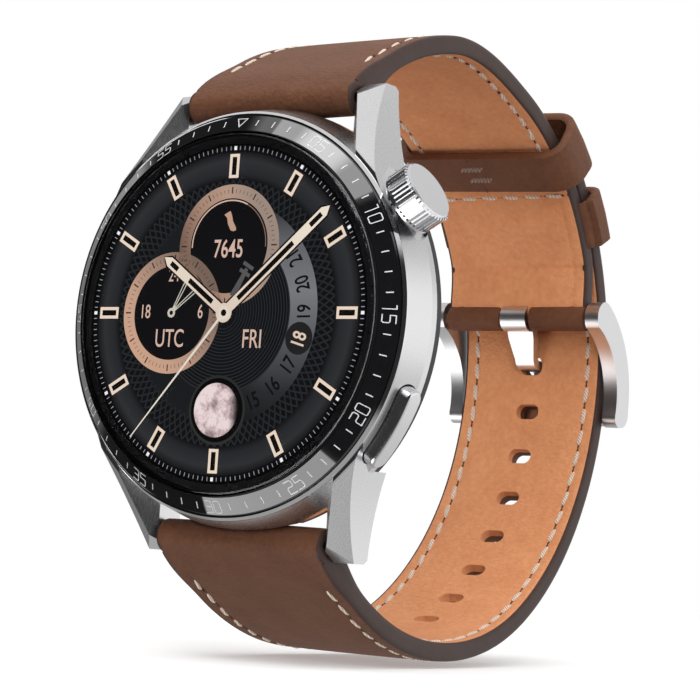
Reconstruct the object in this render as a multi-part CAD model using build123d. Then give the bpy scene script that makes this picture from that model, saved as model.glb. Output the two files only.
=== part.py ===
from build123d import *
import math
import os

# A round smartwatch with its leather strap fastened, as on a wrist. All lengths are in millimetres.
# +X points to 3 o'clock, the dial faces -Y, the wrist is on the +Y side, and +Z points to 12 o'clock.
# The origin is the centre of the flat sensor window on the back of the case.

# ---- driving dimensions -------------------------------------------------------------------------------

CASE_RADIUS = 22.95
LIP_RADIUS = 22.05
CASE_INNER_RADIUS = 20.9
WALL_FRONT_Y = -10.4
WALL_BACK_Y = -5.7

CRYSTAL_RADIUS = 19.5
CRYSTAL_FRONT_Y = -12.15
CRYSTAL_BACK_Y = -11.4
DISPLAY_RADIUS = 18.9
DISPLAY_FRONT_Y = -11.33
DISPLAY_BACK_Y = -10.5

WINDOW_RADIUS = 12.0
WINDOW_SEAT_Y = -1.9
COVER_FLOOR_Y = -2.7
COVER_RADIUS = 22.85
COVER_RIM_Y = -4.7
SCREW_CIRCLE_RADIUS = 19.4

LUG_INNER_X = 11.2
SPRING_BAR_Y = -4.9
SPRING_BAR_Z = 24.0
SPRING_BAR_RADIUS = 0.75
ROLL_RADIUS = 2.0

CROWN_ANGLE = 30.0
CROWN_Y = -8.3
CROWN_RADIUS = 3.5
CROWN_START = 22.95
CROWN_END = 26.2
CROWN_POCKET = 22.35
GROOVE_COUNT = 42
TUBE_RADIUS = 1.25

BUTTON_ANGLE = -30.0
BUTTON_Y = -7.7
BUTTON_LENGTH = 9.3
BUTTON_HEIGHT = 2.5
BUTTON_FACE_RADIUS = 23.85
BUTTON_ROUNDING = 0.35

LOOP_Y = 20.7
STRAP_HALF_AT_LUGS = 10.9
STRAP_HALF_AT_BUCKLE = 10.0
LAYER = 1.1
SHORT_RADIUS = 33.2
LONG_RADIUS = 35.55
LUG_END_ANGLE = 136.8
TAIL_ANGLE = 55.0
TAIL_CORNER = 6.0

HOLE_COUNT = 8
FIRST_HOLE_ANGLE = 2.0
HOLE_STEP_ANGLE = 10.1
HOLE_WIDTH = 3.3
HOLE_LENGTH = 2.0

BUCKLE_BAR_Y = 51.0
BUCKLE_BAR_Z = 7.0
BUCKLE_BAR_RADIUS = 0.75
BUCKLE_ROLL_RADIUS = 1.65
BUCKLE_INNER_X = 10.5
BUCKLE_OUTER_X = 12.4
TONGUE_HALF = 1.35
TONGUE_THICKNESS = 1.2

KEEPER_WIDTH_ANGLE = 10.8
FIXED_KEEPER_ANGLE = 34.0
LOOSE_KEEPER_ANGLE = 51.0
KEEPER_LEATHER = 1.2
SEWN_HALF_THICKNESS = 0.28

RUNNING_GAP = 0.05

FROM_BASE = (Align.CENTER, Align.CENTER, Align.MIN)


# ---- small helpers ------------------------------------------------------------------------------------

def turned(*outline):
    """A solid turned about the dial axis from a closed outline of (radius, y) points."""
    return revolve(make_face(Polyline(*outline, close=True)), Axis.Y)


def washer(inner, outer, start_y, end_y):
    """A flat ring about the dial axis."""
    return turned((inner, start_y), (outer, start_y), (outer, end_y), (inner, end_y))


def disc(radius, start_y, end_y):
    """A flat disc about the dial axis."""
    return washer(0, radius, start_y, end_y)


def block(x_range, y_range, z_range):
    """A box between two values on each axis."""
    size = [high - low for low, high in (x_range, y_range, z_range)]
    return Pos(x_range[0], y_range[0], z_range[0]) * Box(*size, align=(Align.MIN,) * 3)


def cross_rod(y, z, start_x, end_x, radius):
    """A round rod along X."""
    return Pos(start_x, y, z) * Rot(0, 90, 0) * Cylinder(radius, end_x - start_x, align=FROM_BASE)


def radial_plane(angle, y):
    """A plane on the dial axis whose normal points outward at this angle above +X."""
    turn = math.radians(angle)
    outward = (math.cos(turn), 0, math.sin(turn))
    sideways = (-math.sin(turn), 0, math.cos(turn))
    return Plane(origin=(0, y, 0), x_dir=sideways, z_dir=outward)


def radial_rod(plane, start, end, radius):
    """A round rod along a radial plane's normal, between two distances from the dial axis."""
    return plane * Pos(0, 0, start) * Cylinder(radius, end - start, align=FROM_BASE)


def radial_block(plane, start, end, sideways, height):
    """A box along a radial plane's normal: sideways runs round the case, height along the dial axis."""
    return plane * Pos(0, 0, start) * Box(sideways, height, end - start, align=FROM_BASE)


def radial_pill(plane, start, end, length, height):
    """A slot-shaped bar along a radial plane's normal."""
    return plane * Pos(0, 0, start) * extrude(SlotOverall(length, height), end - start)


def quarter_turns(solid):
    """Four copies of a solid, mirrored across the 3-9 and 12-6 lines of the dial."""
    upper = [solid, mirror(solid, about=Plane.YZ)]
    return upper + [mirror(one, about=Plane.XY) for one in upper]


def joined(first, others):
    """One solid from several, added one at a time."""
    for other in others:
        first = first + other
    return first


def trimmed(first, others):
    """A solid with several others cut away, one at a time."""
    for other in others:
        first = first - other
    return first


def save(name, *solids):
    """Write one node, as a single solid or as a group of separate solids."""
    pieces = [piece for solid in solids for piece in solid.solids()]
    shape = pieces[0] if len(pieces) == 1 else Compound(children=pieces)
    export_step(shape, f"parts/{name}.step")


CROWN_PLANE = radial_plane(CROWN_ANGLE, CROWN_Y)
BUTTON_PLANE = radial_plane(BUTTON_ANGLE, BUTTON_Y)


# ---- case ---------------------------------------------------------------------------------------------

def lug():
    """The lug at 1 o'clock: a wide slanting facet in front, and a flank that sweeps in to the tip."""
    flank = [Line((LUG_INNER_X, 9.0), (20.1, 9.0)),
             ThreePointArc((20.1, 9.0), (16.05, 17.0), (13.75, 25.6)),
             Line((13.75, 25.6), (LUG_INNER_X, 25.6)),
             Line((LUG_INNER_X, 25.6), (LUG_INNER_X, 9.0))]
    body = Pos(0, -1.7, 0) * extrude(Plane.XZ * make_face(flank), 8.25)
    facet = Plane(origin=(11.5, -6.24, 25.0), z_dir=(0.72, -1, 0.75))
    tip = Plane(origin=(12.5, -5.6, 24.7), z_dir=(0, -0.6, 1))
    inner_edge = Plane(origin=(14.6, -10.3, 16.6), z_dir=(-1, -0.817, 0.026))
    back_edge = Plane(origin=(12.5, -2.3, 25.6), z_dir=(0, 0.8, 1))
    back_slope = Plane(origin=(15.0, -3.4, 15.6), z_dir=(0, 1, -0.17))
    for cut in (facet, tip, inner_edge, back_edge, back_slope):
        body = split(body, cut, keep=Keep.BOTTOM)
    inside = disc(21.8, -12, WALL_BACK_Y)
    cover_room = disc(CASE_RADIUS - 0.05, WALL_BACK_Y, 1)
    return body - inside - cover_room


def strap_scoop():
    """The hollows between the lugs that the rolled strap ends turn in."""
    clear_radius = ROLL_RADIUS + 0.35
    reach = LUG_INNER_X + 0.1
    return [cross_rod(SPRING_BAR_Y, side * SPRING_BAR_Z, -reach, reach, clear_radius) for side in (-1, 1)]


def crown_pocket():
    return radial_rod(CROWN_PLANE, CROWN_POCKET, CROWN_END, CROWN_RADIUS + 0.4)


def sound_slots():
    """Three slots through the wall at 9 o'clock, in front of the speaker."""
    return [block((-24, -19), (-8.1, -7.6), (z - 0.9, z + 0.9)) for z in (-2.6, 0, 2.6)]


def mid_case():
    ring = turned((21.6, -9.7), (21.6, -10.25), (21.75, WALL_FRONT_Y), (LIP_RADIUS, -10.05),
                  (CASE_RADIUS, -6.6), (CASE_RADIUS, WALL_BACK_Y), (CASE_INNER_RADIUS, WALL_BACK_Y),
                  (CASE_INNER_RADIUS, -9.2), (20.1, -9.2), (20.1, -9.7))
    inside_wall = disc(21.5, -9.2, WALL_BACK_Y)
    bosses = [one & inside_wall for one in quarter_turns(screw_post(1.65, -9.2, WALL_BACK_Y))]
    crown_boss = radial_block(CROWN_PLANE, 19.7, 21.5, 5.4, 4.4) & inside_wall
    button_boss = radial_block(BUTTON_PLANE, 19.7, 21.5, 6.0, 3.4) & inside_wall
    body = joined(trimmed(ring, strap_scoop()), quarter_turns(lug()) + bosses + [crown_boss, button_boss])
    holes = quarter_turns(screw_post(0.6, -8.3, 0))
    pins = [cross_rod(SPRING_BAR_Y, side * SPRING_BAR_Z, -12.5, 12.5, 0.5) for side in (-1, 1)]
    pill_slot = radial_pill(BUTTON_PLANE, 21.3, 26, BUTTON_LENGTH + 0.3, BUTTON_HEIGHT + 0.3)
    bores = [radial_rod(CROWN_PLANE, 15, 30, TUBE_RADIUS), radial_rod(BUTTON_PLANE, 15, 30, 0.75)]
    return trimmed(body, holes + pins + sound_slots() + [crown_pocket(), pill_slot] + bores)


def screw_post(radius, start_y, end_y):
    """A rod along the dial axis at the place of the first case screw."""
    reach = SCREW_CIRCLE_RADIUS * math.sqrt(0.5)
    return Pos(reach, end_y, reach) * Rot(90, 0, 0) * Cylinder(radius, end_y - start_y, align=FROM_BASE)


def case_screws():
    """Four screws with slotted heads, sunk in the rear cover."""
    reach = SCREW_CIRCLE_RADIUS * math.sqrt(0.5)
    slot = block((reach - 1.2, reach + 1.2), (-3.35, -3.0), (reach - 0.15, reach + 0.15))
    screw = screw_post(0.6, -8.2, -3.9) + screw_post(1.1, -3.9, -3.15) - slot
    return quarter_turns(screw)


def rear_cover():
    outline = [Line((10.8, WINDOW_SEAT_Y), (12.05, WINDOW_SEAT_Y)),
               Line((12.05, WINDOW_SEAT_Y), (12.05, -1.45)),
               Line((12.05, -1.45), (17.4, -1.8)),
               ThreePointArc((17.4, -1.8), (20.9, -2.95), (COVER_RADIUS, COVER_RIM_Y)),
               Polyline((COVER_RADIUS, COVER_RIM_Y), (COVER_RADIUS, WALL_BACK_Y), (22.2, WALL_BACK_Y),
                        (22.2, -5.4), (21.3, -5.4), (21.3, WALL_BACK_Y), (20.7, WALL_BACK_Y), (20.7, -5.1)),
               ThreePointArc((20.7, -5.1), (19.2, -3.6), (16.4, COVER_FLOOR_Y)),
               Polyline((16.4, COVER_FLOOR_Y), (10.8, COVER_FLOOR_Y), (10.8, WINDOW_SEAT_Y))]
    shell = revolve(make_face(outline), Axis.Y)
    posts = [one & disc(21.3, -9, -1) for one in quarter_turns(screw_post(1.75, WALL_BACK_Y, -3.3))]
    holes = quarter_turns(screw_post(0.6, -8, -3))
    sinks = quarter_turns(screw_post(1.15, -3.9, 0))
    return trimmed(joined(shell, posts), holes + sinks + strap_scoop() + [crown_pocket()])


def sensor_window():
    outline = [Polyline((10.4, 0), (0, 0), (0, WINDOW_SEAT_Y), (WINDOW_RADIUS, WINDOW_SEAT_Y),
                        (WINDOW_RADIUS, -1.1)),
               ThreePointArc((WINDOW_RADIUS, -1.1), (11.55, -0.32), (10.4, 0))]
    return revolve(make_face(outline), Axis.Y)


def bezel_ring():
    """The glossy ring that slopes from the crystal down to the case."""
    return turned((19.05, -11.2), (19.55, -11.2), (19.55, -11.6), (19.68, -11.66), (21.45, -10.5),
                  (21.58, -10.35), (21.58, -9.95), (19.6, -9.95), (19.6, -10.7), (19.05, -10.9))


def crystal():
    outline = [Polyline((19.0, CRYSTAL_FRONT_Y), (0, CRYSTAL_FRONT_Y), (0, CRYSTAL_BACK_Y),
                        (CRYSTAL_RADIUS, CRYSTAL_BACK_Y), (CRYSTAL_RADIUS, -11.7)),
               ThreePointArc((CRYSTAL_RADIUS, -11.7), (19.37, -12.02), (19.0, CRYSTAL_FRONT_Y))]
    return revolve(make_face(outline), Axis.Y)


def build_case():
    save("mid_case", mid_case())
    save("rear_cover", rear_cover())
    save("sensor_window", sensor_window())
    save("bezel_ring", bezel_ring())
    save("crystal", crystal())
    save("crystal_gasket", washer(19.05, CRYSTAL_RADIUS, CRYSTAL_BACK_Y, -11.2))
    save("rear_gasket", trimmed(washer(21.3, 22.2, WALL_BACK_Y, -5.4), strap_scoop() + [crown_pocket()]))
    save("case_screws", *case_screws())


# ---- inside the case ----------------------------------------------------------------------------------

def mainboard():
    board = block((-13.2, 12.5), (-9.55, -8.85), (-13.5, 16.5)) & disc(18.4, -11, -8)
    crown_room = radial_block(CROWN_PLANE, 13.4, 24, 7.0, 8)
    button_room = radial_block(BUTTON_PLANE, 15.9, 24, 8.0, 8)
    return trimmed(board, [crown_room, button_room] + quarter_turns(screw_post(1.9, -11, -6)))


def shield_cans():
    return [block((-12, -1), (-8.85, -7.35), (-11, 4)),
            block((0.5, 9.5), (-8.85, -7.35), (-11, 0.5)),
            block((-11, 5), (-8.85, -7.35), (6.5, 14))]


def battery():
    cell = block((-12, 8), (-7.2, -3.7), (-12, 12))
    return fillet(cell.edges().filter_by(Axis.Y), 1.2)


def inner_chassis():
    plate = washer(5, 19.4, -10.4, -9.75)
    crown_room = radial_block(CROWN_PLANE, 13.4, 24, 7.0, 4.4)
    return plate - crown_room


def haptic_case():
    outside = block((-7, 3), (-9.3, -6.1), (-17.6, -14.2))
    return outside - block((-6.75, 2.75), (-9.05, -6.35), (-17.35, -14.45))


def haptic_springs():
    """A leaf spring at each end of the moving mass."""
    return [block((x - 0.1, x + 0.1), (-8.9, -6.5), (-17.2, -14.6)) for x in (-6.4, 2.4)]


def speaker():
    box = block((-19.3, -14.6), (-9.15, -6.4), (-4.8, 4.8))
    membrane_well = block((-19.3, -18.6), (-8.7, -6.85), (-4.0, 4.0))
    return (box - membrane_well) & disc(20.6, -11, -5)


def optical_sensors():
    """Two green and two infrared emitters round the middle, and four photodiodes outside them."""
    emitters = [block((x - 0.6, x + 0.6), (-2.95, -2.35), (z - 0.6, z + 0.6))
                for x, z in ((-1.3, 0), (1.3, 0), (0, -1.8), (0, 1.8))]
    diodes = [Rot(0, turn, 0) * block((5.2, 7.2), (-2.95, -2.45), (-1.3, 1.3)) for turn in (0, 90, 180, 270)]
    return emitters + diodes


def build_inside():
    save("display_panel", disc(DISPLAY_RADIUS, DISPLAY_FRONT_Y, DISPLAY_BACK_Y))
    save("inner_chassis", inner_chassis())
    save("antenna_ring", washer(20.2, 21.5, -9.95, -9.7))
    save("mainboard", mainboard())
    save("shield_cans", *shield_cans())
    save("battery", battery())
    save("haptic_case", haptic_case())
    save("haptic_springs", *haptic_springs())
    save("haptic_mass", block((-5.3, 1.3), (-8.9, -6.5), (-17.1, -14.7)))
    save("speaker", speaker())
    save("microphone", block((-17.4, -15.0), (-9.0, -7.9), (6.4, 8.8)))
    save("pressure_sensor", block((-17.4, -15.0), (-9.0, -7.9), (-8.8, -6.4)))
    save("sensor_board", disc(11.6, -3.5, -2.95))
    save("optical_sensors", *optical_sensors())
    save("charging_coil", washer(12.2, 15.8, -3.3, -2.75))


# ---- crown and button ---------------------------------------------------------------------------------

def crown_cap():
    """A knurled cap with bevelled rims and a bore for its shaft."""
    bevel = 0.38
    outline = [(0, CROWN_START), (CROWN_RADIUS - bevel, CROWN_START), (CROWN_RADIUS, CROWN_START + bevel),
               (CROWN_RADIUS, CROWN_END - bevel), (CROWN_RADIUS - bevel, CROWN_END), (0, CROWN_END)]
    blank = revolve(Plane.XZ * make_face(Polyline(*outline, close=True)), Axis.Z)
    groove = Pos(CROWN_RADIUS, 0, CROWN_START + 0.6) * Box(0.5, 0.26, 4, align=FROM_BASE)
    grooves = [Rot(0, 0, 360 / GROOVE_COUNT * index) * groove for index in range(GROOVE_COUNT)]
    return CROWN_PLANE * (blank.cut(*grooves)) - radial_rod(CROWN_PLANE, CROWN_START, 24.4, 0.8)


def crown_shaft():
    shaft = radial_rod(CROWN_PLANE, 15.95, 24.4, 0.8)
    ring_groove = radial_rod(CROWN_PLANE, 20.6, 21.2, 1.0) - radial_rod(CROWN_PLANE, 20.6, 21.2, 0.55)
    return shaft - ring_groove


def encoder_wheel():
    """A toothed disc that the crown sensor reads."""
    disc_part = radial_rod(CROWN_PLANE, 18.3, 18.9, 1.9) - radial_rod(CROWN_PLANE, 18, 19, 0.8)
    notches = [CROWN_PLANE * Rot(0, 0, 30 * index) * Pos(1.9, 0, 18.6) * Box(0.5, 0.35, 1)
               for index in range(12)]
    return disc_part.cut(*notches)


def crown_thrust_plate():
    plate = radial_block(CROWN_PLANE, 16.7, 17.9, 4.2, 3.6)
    return plate - radial_rod(CROWN_PLANE, 16, 18, 0.8 + RUNNING_GAP)


def seal(plane, distance, ring_radius, wire_radius):
    return plane * Pos(0, 0, distance) * Torus(ring_radius, wire_radius)


def tact_switch(plane, start, body_length):
    """A side switch: a body, and a low round dome that the shaft presses."""
    body = radial_block(plane, start, start + body_length, 3.6, 2.6)
    return body + radial_rod(plane, start + body_length, start + body_length + 0.2, 0.9)


def switch_brackets():
    return [radial_block(CROWN_PLANE, 13.6, 14.1, 5.0, 3.4),
            radial_block(BUTTON_PLANE, 16.1, 16.6, 5.0, 2.8)]


def button_cap():
    """A slot-shaped key whose face follows the round case."""
    blank = radial_pill(BUTTON_PLANE, 21.75, 26, BUTTON_LENGTH, BUTTON_HEIGHT)
    pill = blank & disc(BUTTON_FACE_RADIUS, -14, 0)

    def at_face(edge):
        return math.hypot(edge.center().X, edge.center().Z) > BUTTON_FACE_RADIUS - 1
    return fillet([edge for edge in pill.edges() if at_face(edge)], BUTTON_ROUNDING)


def button_stem():
    shaft = radial_rod(BUTTON_PLANE, 18.35, 21.75, 0.7)
    ring_groove = radial_rod(BUTTON_PLANE, 20.2, 20.8, 1.0) - radial_rod(BUTTON_PLANE, 20.2, 20.8, 0.45)
    clip_groove = radial_rod(BUTTON_PLANE, 18.75, 19.05, 1.0) - radial_rod(BUTTON_PLANE, 18.75, 19.05, 0.5)
    return shaft - ring_groove - clip_groove


def retaining_clip(plane, start, inner, outer):
    ring = radial_rod(plane, start, start + 0.3, outer) - radial_rod(plane, start, start + 0.3, inner)
    return ring - radial_block(plane, start, start + 0.3, 0.8, 2 * outer).moved(
        Location(plane.x_dir * outer))


def build_controls():
    tube = radial_rod(CROWN_PLANE, 19.2, CROWN_POCKET, TUBE_RADIUS)
    save("crown_tube", tube - radial_rod(CROWN_PLANE, 19, 23, 0.8 + RUNNING_GAP))
    save("crown_cap", crown_cap())
    save("crown_shaft", crown_shaft())
    save("crown_oring", seal(CROWN_PLANE, 20.9, 0.7, 0.14))
    save("crown_clip", retaining_clip(CROWN_PLANE, 16.2, 0.8, 1.5))
    save("encoder_wheel", encoder_wheel())
    save("crown_thrust_plate", crown_thrust_plate())
    save("crown_switch", tact_switch(CROWN_PLANE, 14.1, 1.25))
    save("crown_sensor", CROWN_PLANE * Pos(0, -2.75, 18.6) * Box(2.4, 0.7, 1.6))
    save("button_cap", button_cap())
    save("button_stem", button_stem())
    save("button_oring", seal(BUTTON_PLANE, 20.5, 0.59, 0.14))
    save("button_clip", retaining_clip(BUTTON_PLANE, 18.75, 0.5, 1.3))
    save("button_switch", tact_switch(BUTTON_PLANE, 16.6, 1.2))
    save("switch_brackets", *switch_brackets())


# ---- strap --------------------------------------------------------------------------------------------

def ease(value, start, end):
    """0 before start and 1 after end, with a smooth change between."""
    step = min(max((value - start) / (end - start), 0), 1)
    return step * step * (3 - 2 * step)


def short_middle(angle):
    """Radius of the short strap's glue line: it leans in to the buckle bar and out to the lugs."""
    return SHORT_RADIUS - 1.75 * (1 - ease(angle, 13, 27)) + 1.5 * ease(angle, 70, 100) \
        + 0.4 * ease(angle, 100, LUG_END_ANGLE)


def long_middle(angle):
    """Radius of the long strap's glue line, where the angle is negative below the buckle."""
    return LONG_RADIUS - 0.45 * (1 - ease(angle, -95, -60))


def layer_thickness(angle):
    """Each layer thickens over the last stretch before the lugs."""
    return LAYER + 0.75 * ease(abs(angle), 122, LUG_END_ANGLE - 2)


def loop_point(angle, radius):
    turn = math.radians(angle)
    return (LOOP_Y + radius * math.cos(turn), radius * math.sin(turn))


def strap_layer(middle, start, end, side):
    """One leather layer, on the outer (+1) or the wrist (-1) side of the glue line."""
    count = math.ceil(abs(end - start) / 6) + 1
    angles = [start + (end - start) * index / (count - 1) for index in range(count)]
    glued = [loop_point(angle, middle(angle)) for angle in angles]
    faced = [loop_point(angle, middle(angle) + side * layer_thickness(angle)) for angle in angles]
    outline = [Spline(*glued), Line(glued[-1], faced[-1]), Spline(*faced), Line(faced[0], glued[0])]
    return extrude(Plane.YZ * make_face(outline), 15, both=True) & strap_plan()


def strap_plan():
    """The strap's width: it narrows evenly from the lugs to the buckle."""
    plan = make_face(Polyline((-STRAP_HALF_AT_LUGS, -8), (STRAP_HALF_AT_LUGS, -8), (STRAP_HALF_AT_BUCKLE, 52),
                              (STRAP_HALF_AT_BUCKLE, 62), (-STRAP_HALF_AT_BUCKLE, 62),
                              (-STRAP_HALF_AT_BUCKLE, 52), close=True))
    return extrude(plan, 50, both=True)


def lug_roll(side, radius):
    """The rolled leather end that holds a spring bar, at 12 (+1) or 6 (-1) o'clock."""
    return cross_rod(SPRING_BAR_Y, side * SPRING_BAR_Z, -STRAP_HALF_AT_LUGS, STRAP_HALF_AT_LUGS, radius)


def bar_bore(side):
    return cross_rod(SPRING_BAR_Y, side * SPRING_BAR_Z, -12, 12, SPRING_BAR_RADIUS + 0.1)


def knob_window(side):
    """The gap in the leather that the quick-release knob slides in."""
    return block((5.6, 9.4), (SPRING_BAR_Y, SPRING_BAR_Y + 5), sorted((side * 22.6, side * 25.4)))


def buckle_roll(radius, half_length=STRAP_HALF_AT_BUCKLE):
    return cross_rod(BUCKLE_BAR_Y, BUCKLE_BAR_Z, -half_length, half_length, radius)


def tongue_gap():
    return cross_rod(BUCKLE_BAR_Y, BUCKLE_BAR_Z, -2.15, 2.15, 2.1)


def short_strap_outer():
    layer = strap_layer(short_middle, 13.5, LUG_END_ANGLE, 1)
    body = layer + lug_roll(1, ROLL_RADIUS) + buckle_roll(BUCKLE_ROLL_RADIUS)
    buckle_bore = cross_rod(BUCKLE_BAR_Y, BUCKLE_BAR_Z, -13, 13, BUCKLE_BAR_RADIUS + RUNNING_GAP)
    return trimmed(body, [bar_bore(1), buckle_bore, tongue_gap(), knob_window(1), keeper_pocket()])


def short_strap_lining():
    layer = strap_layer(short_middle, 13.5, LUG_END_ANGLE, -1)
    rolls = [lug_roll(1, ROLL_RADIUS), buckle_roll(BUCKLE_ROLL_RADIUS, STRAP_HALF_AT_LUGS)]
    return trimmed(layer, rolls + [tongue_gap(), knob_window(1), keeper_pocket()])


def adjusting_holes():
    """Eight slots across the long strap."""
    slot = Rot(-90, 0, 0) * extrude(SlotOverall(HOLE_WIDTH, HOLE_LENGTH), 45)
    turns = [FIRST_HOLE_ANGLE - HOLE_STEP_ANGLE * index for index in range(HOLE_COUNT)]
    return [Pos(0, LOOP_Y, 0) * Rot(turn, 0, 0) * slot for turn in turns]


def rounded_tail(strap):
    """The strap's free end, rounded at both corners."""
    def near_tail(edge):
        centre = edge.center()
        return centre.Z > 0 and math.atan2(centre.Z, centre.Y - LOOP_Y) > math.radians(TAIL_ANGLE - 1)
    corners = [edge for edge in strap.edges() if near_tail(edge) and abs(edge.center().X) > 9]
    return fillet(corners, TAIL_CORNER)


def long_strap_outer():
    layer = strap_layer(long_middle, -LUG_END_ANGLE, TAIL_ANGLE, 1)
    body = rounded_tail(layer) + lug_roll(-1, ROLL_RADIUS)
    return body.cut(bar_bore(-1), knob_window(-1), *adjusting_holes())


def long_strap_lining():
    layer = strap_layer(long_middle, -LUG_END_ANGLE, TAIL_ANGLE, -1)
    return rounded_tail(layer).cut(lug_roll(-1, ROLL_RADIUS), knob_window(-1), *adjusting_holes())


def keeper(angle, side_gap, face_gap):
    """A leather loop round both straps, bent to their curve."""
    inner = SHORT_RADIUS - LAYER - face_gap
    outer = LONG_RADIUS + LAYER + face_gap
    middle = (inner + outer) / 2
    half = STRAP_HALF_AT_BUCKLE + side_gap
    height = outer - inner
    opening = Pos(0, middle) * RectangleRounded(2 * half, height, 0.8)
    band = Pos(0, middle) * RectangleRounded(2 * (half + KEEPER_LEATHER), height + 2 * KEEPER_LEATHER, 1.6)
    bent = revolve(band - opening, Axis.X, KEEPER_WIDTH_ANGLE)
    return Pos(0, LOOP_Y, 0) * Rot(angle - KEEPER_WIDTH_ANGLE / 2, 0, 0) * bent


def sewn_run(half_thickness, half_length, angle_room):
    """The flat space between the short strap's layers at the fixed keeper."""
    span = Pos(0, SHORT_RADIUS) * Rectangle(2 * half_length, 2 * half_thickness)
    width = KEEPER_WIDTH_ANGLE + angle_room
    return Pos(0, LOOP_Y, 0) * Rot(FIXED_KEEPER_ANGLE - width / 2, 0, 0) * revolve(span, Axis.X, width)


def keeper_pocket():
    return sewn_run(SEWN_HALF_THICKNESS + RUNNING_GAP, STRAP_HALF_AT_LUGS + 1, 0.3)


def sewn_keeper():
    """The fixed keeper: a loop over the long strap, its inner run sewn between the short strap's layers."""
    loop = keeper(FIXED_KEEPER_ANGLE, 0.3, 0.23)
    inner_side = Pos(0, LOOP_Y, 0) * Cylinder(SHORT_RADIUS - SEWN_HALF_THICKNESS, 40, rotation=(0, 90, 0))
    run = sewn_run(SEWN_HALF_THICKNESS, STRAP_HALF_AT_BUCKLE + 0.35 + KEEPER_LEATHER / 2, 0)
    return loop - inner_side + run


def build_strap():
    save("short_strap_outer", short_strap_outer())
    save("short_strap_lining", short_strap_lining())
    save("long_strap_outer", long_strap_outer())
    save("long_strap_lining", long_strap_lining())
    save("fixed_keeper", sewn_keeper())
    save("loose_keeper", keeper(LOOSE_KEEPER_ANGLE, 0.55, 0.3))


# ---- quick-release spring bars ------------------------------------------------------------------------

def bar_tube(side):
    z = side * SPRING_BAR_Z
    tube = cross_rod(SPRING_BAR_Y, z, -9.6, 9.6, SPRING_BAR_RADIUS)
    slot = block((5.9, 9.1), (SPRING_BAR_Y, SPRING_BAR_Y + 1), (z - 0.5, z + 0.5))
    return tube - cross_rod(SPRING_BAR_Y, z, -10, 10, 0.53) - slot


def fixed_tip(side):
    z = side * SPRING_BAR_Z
    return cross_rod(SPRING_BAR_Y, z, -11.9, -9.6, 0.4) + cross_rod(SPRING_BAR_Y, z, -9.6, -8.4, 0.53)


def release_pin(side):
    """The sliding pin, with the knob that a fingernail pulls."""
    z = side * SPRING_BAR_Z
    knob = Pos(8.3, SPRING_BAR_Y, z) * Rot(-90, 0, 0) * Cylinder(0.42, 2.9, align=FROM_BASE)
    shaft = cross_rod(SPRING_BAR_Y, z, 4.6, 9.5, 0.48) + cross_rod(SPRING_BAR_Y, z, 9.5, 11.9, 0.4)
    return shaft + knob


def bar_spring(side):
    """A fine coil spring in the tube, behind the sliding pin."""
    coils = Helix(pitch=0.75, height=9.0, radius=0.34)
    wire = sweep(Plane(origin=coils @ 0, z_dir=coils % 0) * Circle(0.11), path=coils)
    return Pos(-7.2, SPRING_BAR_Y, side * SPRING_BAR_Z) * Rot(0, 90, 0) * wire


def build_spring_bars():
    for name, side in (("top", 1), ("bottom", -1)):
        save(f"{name}_bar_tube", bar_tube(side))
        save(f"{name}_bar_tip", fixed_tip(side))
        save(f"{name}_bar_spring", bar_spring(side))
        save(f"{name}_release_pin", release_pin(side))


# ---- buckle -------------------------------------------------------------------------------------------

def buckle_frame():
    """Two curved arms from the bar to a crossbar outside the strap, notched for the tongue."""
    outline = [ThreePointArc((52.2, 8.9), (57.6, 3.4), (59.1, -4.2)),
               ThreePointArc((59.1, -4.2), (58.6, -5.9), (57.2, -6.4)),
               ThreePointArc((57.2, -6.4), (56.0, -6.1), (55.6, -5.0)),
               ThreePointArc((55.6, -5.0), (54.6, 1.5), (49.9, 5.7)),
               ThreePointArc((49.9, 5.7), (50.2, 8.7), (52.2, 8.9))]
    arm = extrude(Plane.YZ * make_face(outline), BUCKLE_OUTER_X - BUCKLE_INNER_X)
    arms = [Pos(start, 0, 0) * arm for start in (BUCKLE_INNER_X, -BUCKLE_OUTER_X)]
    crossbar = block((-11.5, 11.5), (57.3, 59.1), (-6.2, -3.7))
    crossbar = fillet(crossbar.edges().filter_by(Axis.X), 0.6)
    body = arms[0].fuse(arms[1], crossbar)
    half = TONGUE_HALF + 0.2
    notch = block((-half, half), (58.3, 60), (-8, -3))
    return body - notch - cross_rod(BUCKLE_BAR_Y, BUCKLE_BAR_Z, -12.0, 12.0, BUCKLE_BAR_RADIUS)


def buckle_tongue():
    """A flat pin that turns on the bar, goes out through the strap and rests in the crossbar's notch."""
    hole_z = LONG_RADIUS * math.sin(math.radians(FIRST_HOLE_ANGLE))
    corners = [(BUCKLE_BAR_Y + 0.9, 6.0), (54.0, hole_z), (58.9, hole_z), (59.0, -6.2)]
    route = FilletPolyline(*corners, radius=0.9)
    flat = extrude(Plane.YZ * trace(route, TONGUE_THICKNESS), 3, both=True)
    plan = make_face(Polyline((-1.85, 9), (-1.85, 4.5), (-TONGUE_HALF, 1.8), (-TONGUE_HALF, -8),
                              (TONGUE_HALF, -8), (TONGUE_HALF, 1.8), (1.85, 4.5), (1.85, 9), close=True))
    blade = flat & extrude(Plane.XZ * plan, -70)
    eye = cross_rod(BUCKLE_BAR_Y, BUCKLE_BAR_Z, -1.85, 1.85, 1.75)
    return blade + eye - cross_rod(BUCKLE_BAR_Y, BUCKLE_BAR_Z, -3, 3, BUCKLE_BAR_RADIUS + RUNNING_GAP)


def build_buckle():
    save("buckle_frame", buckle_frame())
    save("buckle_bar", cross_rod(BUCKLE_BAR_Y, BUCKLE_BAR_Z, -12.0, 12.0, BUCKLE_BAR_RADIUS))
    save("buckle_tongue", buckle_tongue())


os.makedirs("parts", exist_ok=True)
build_case()
build_inside()
build_controls()
build_strap()
build_spring_bars()
build_buckle()
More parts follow.
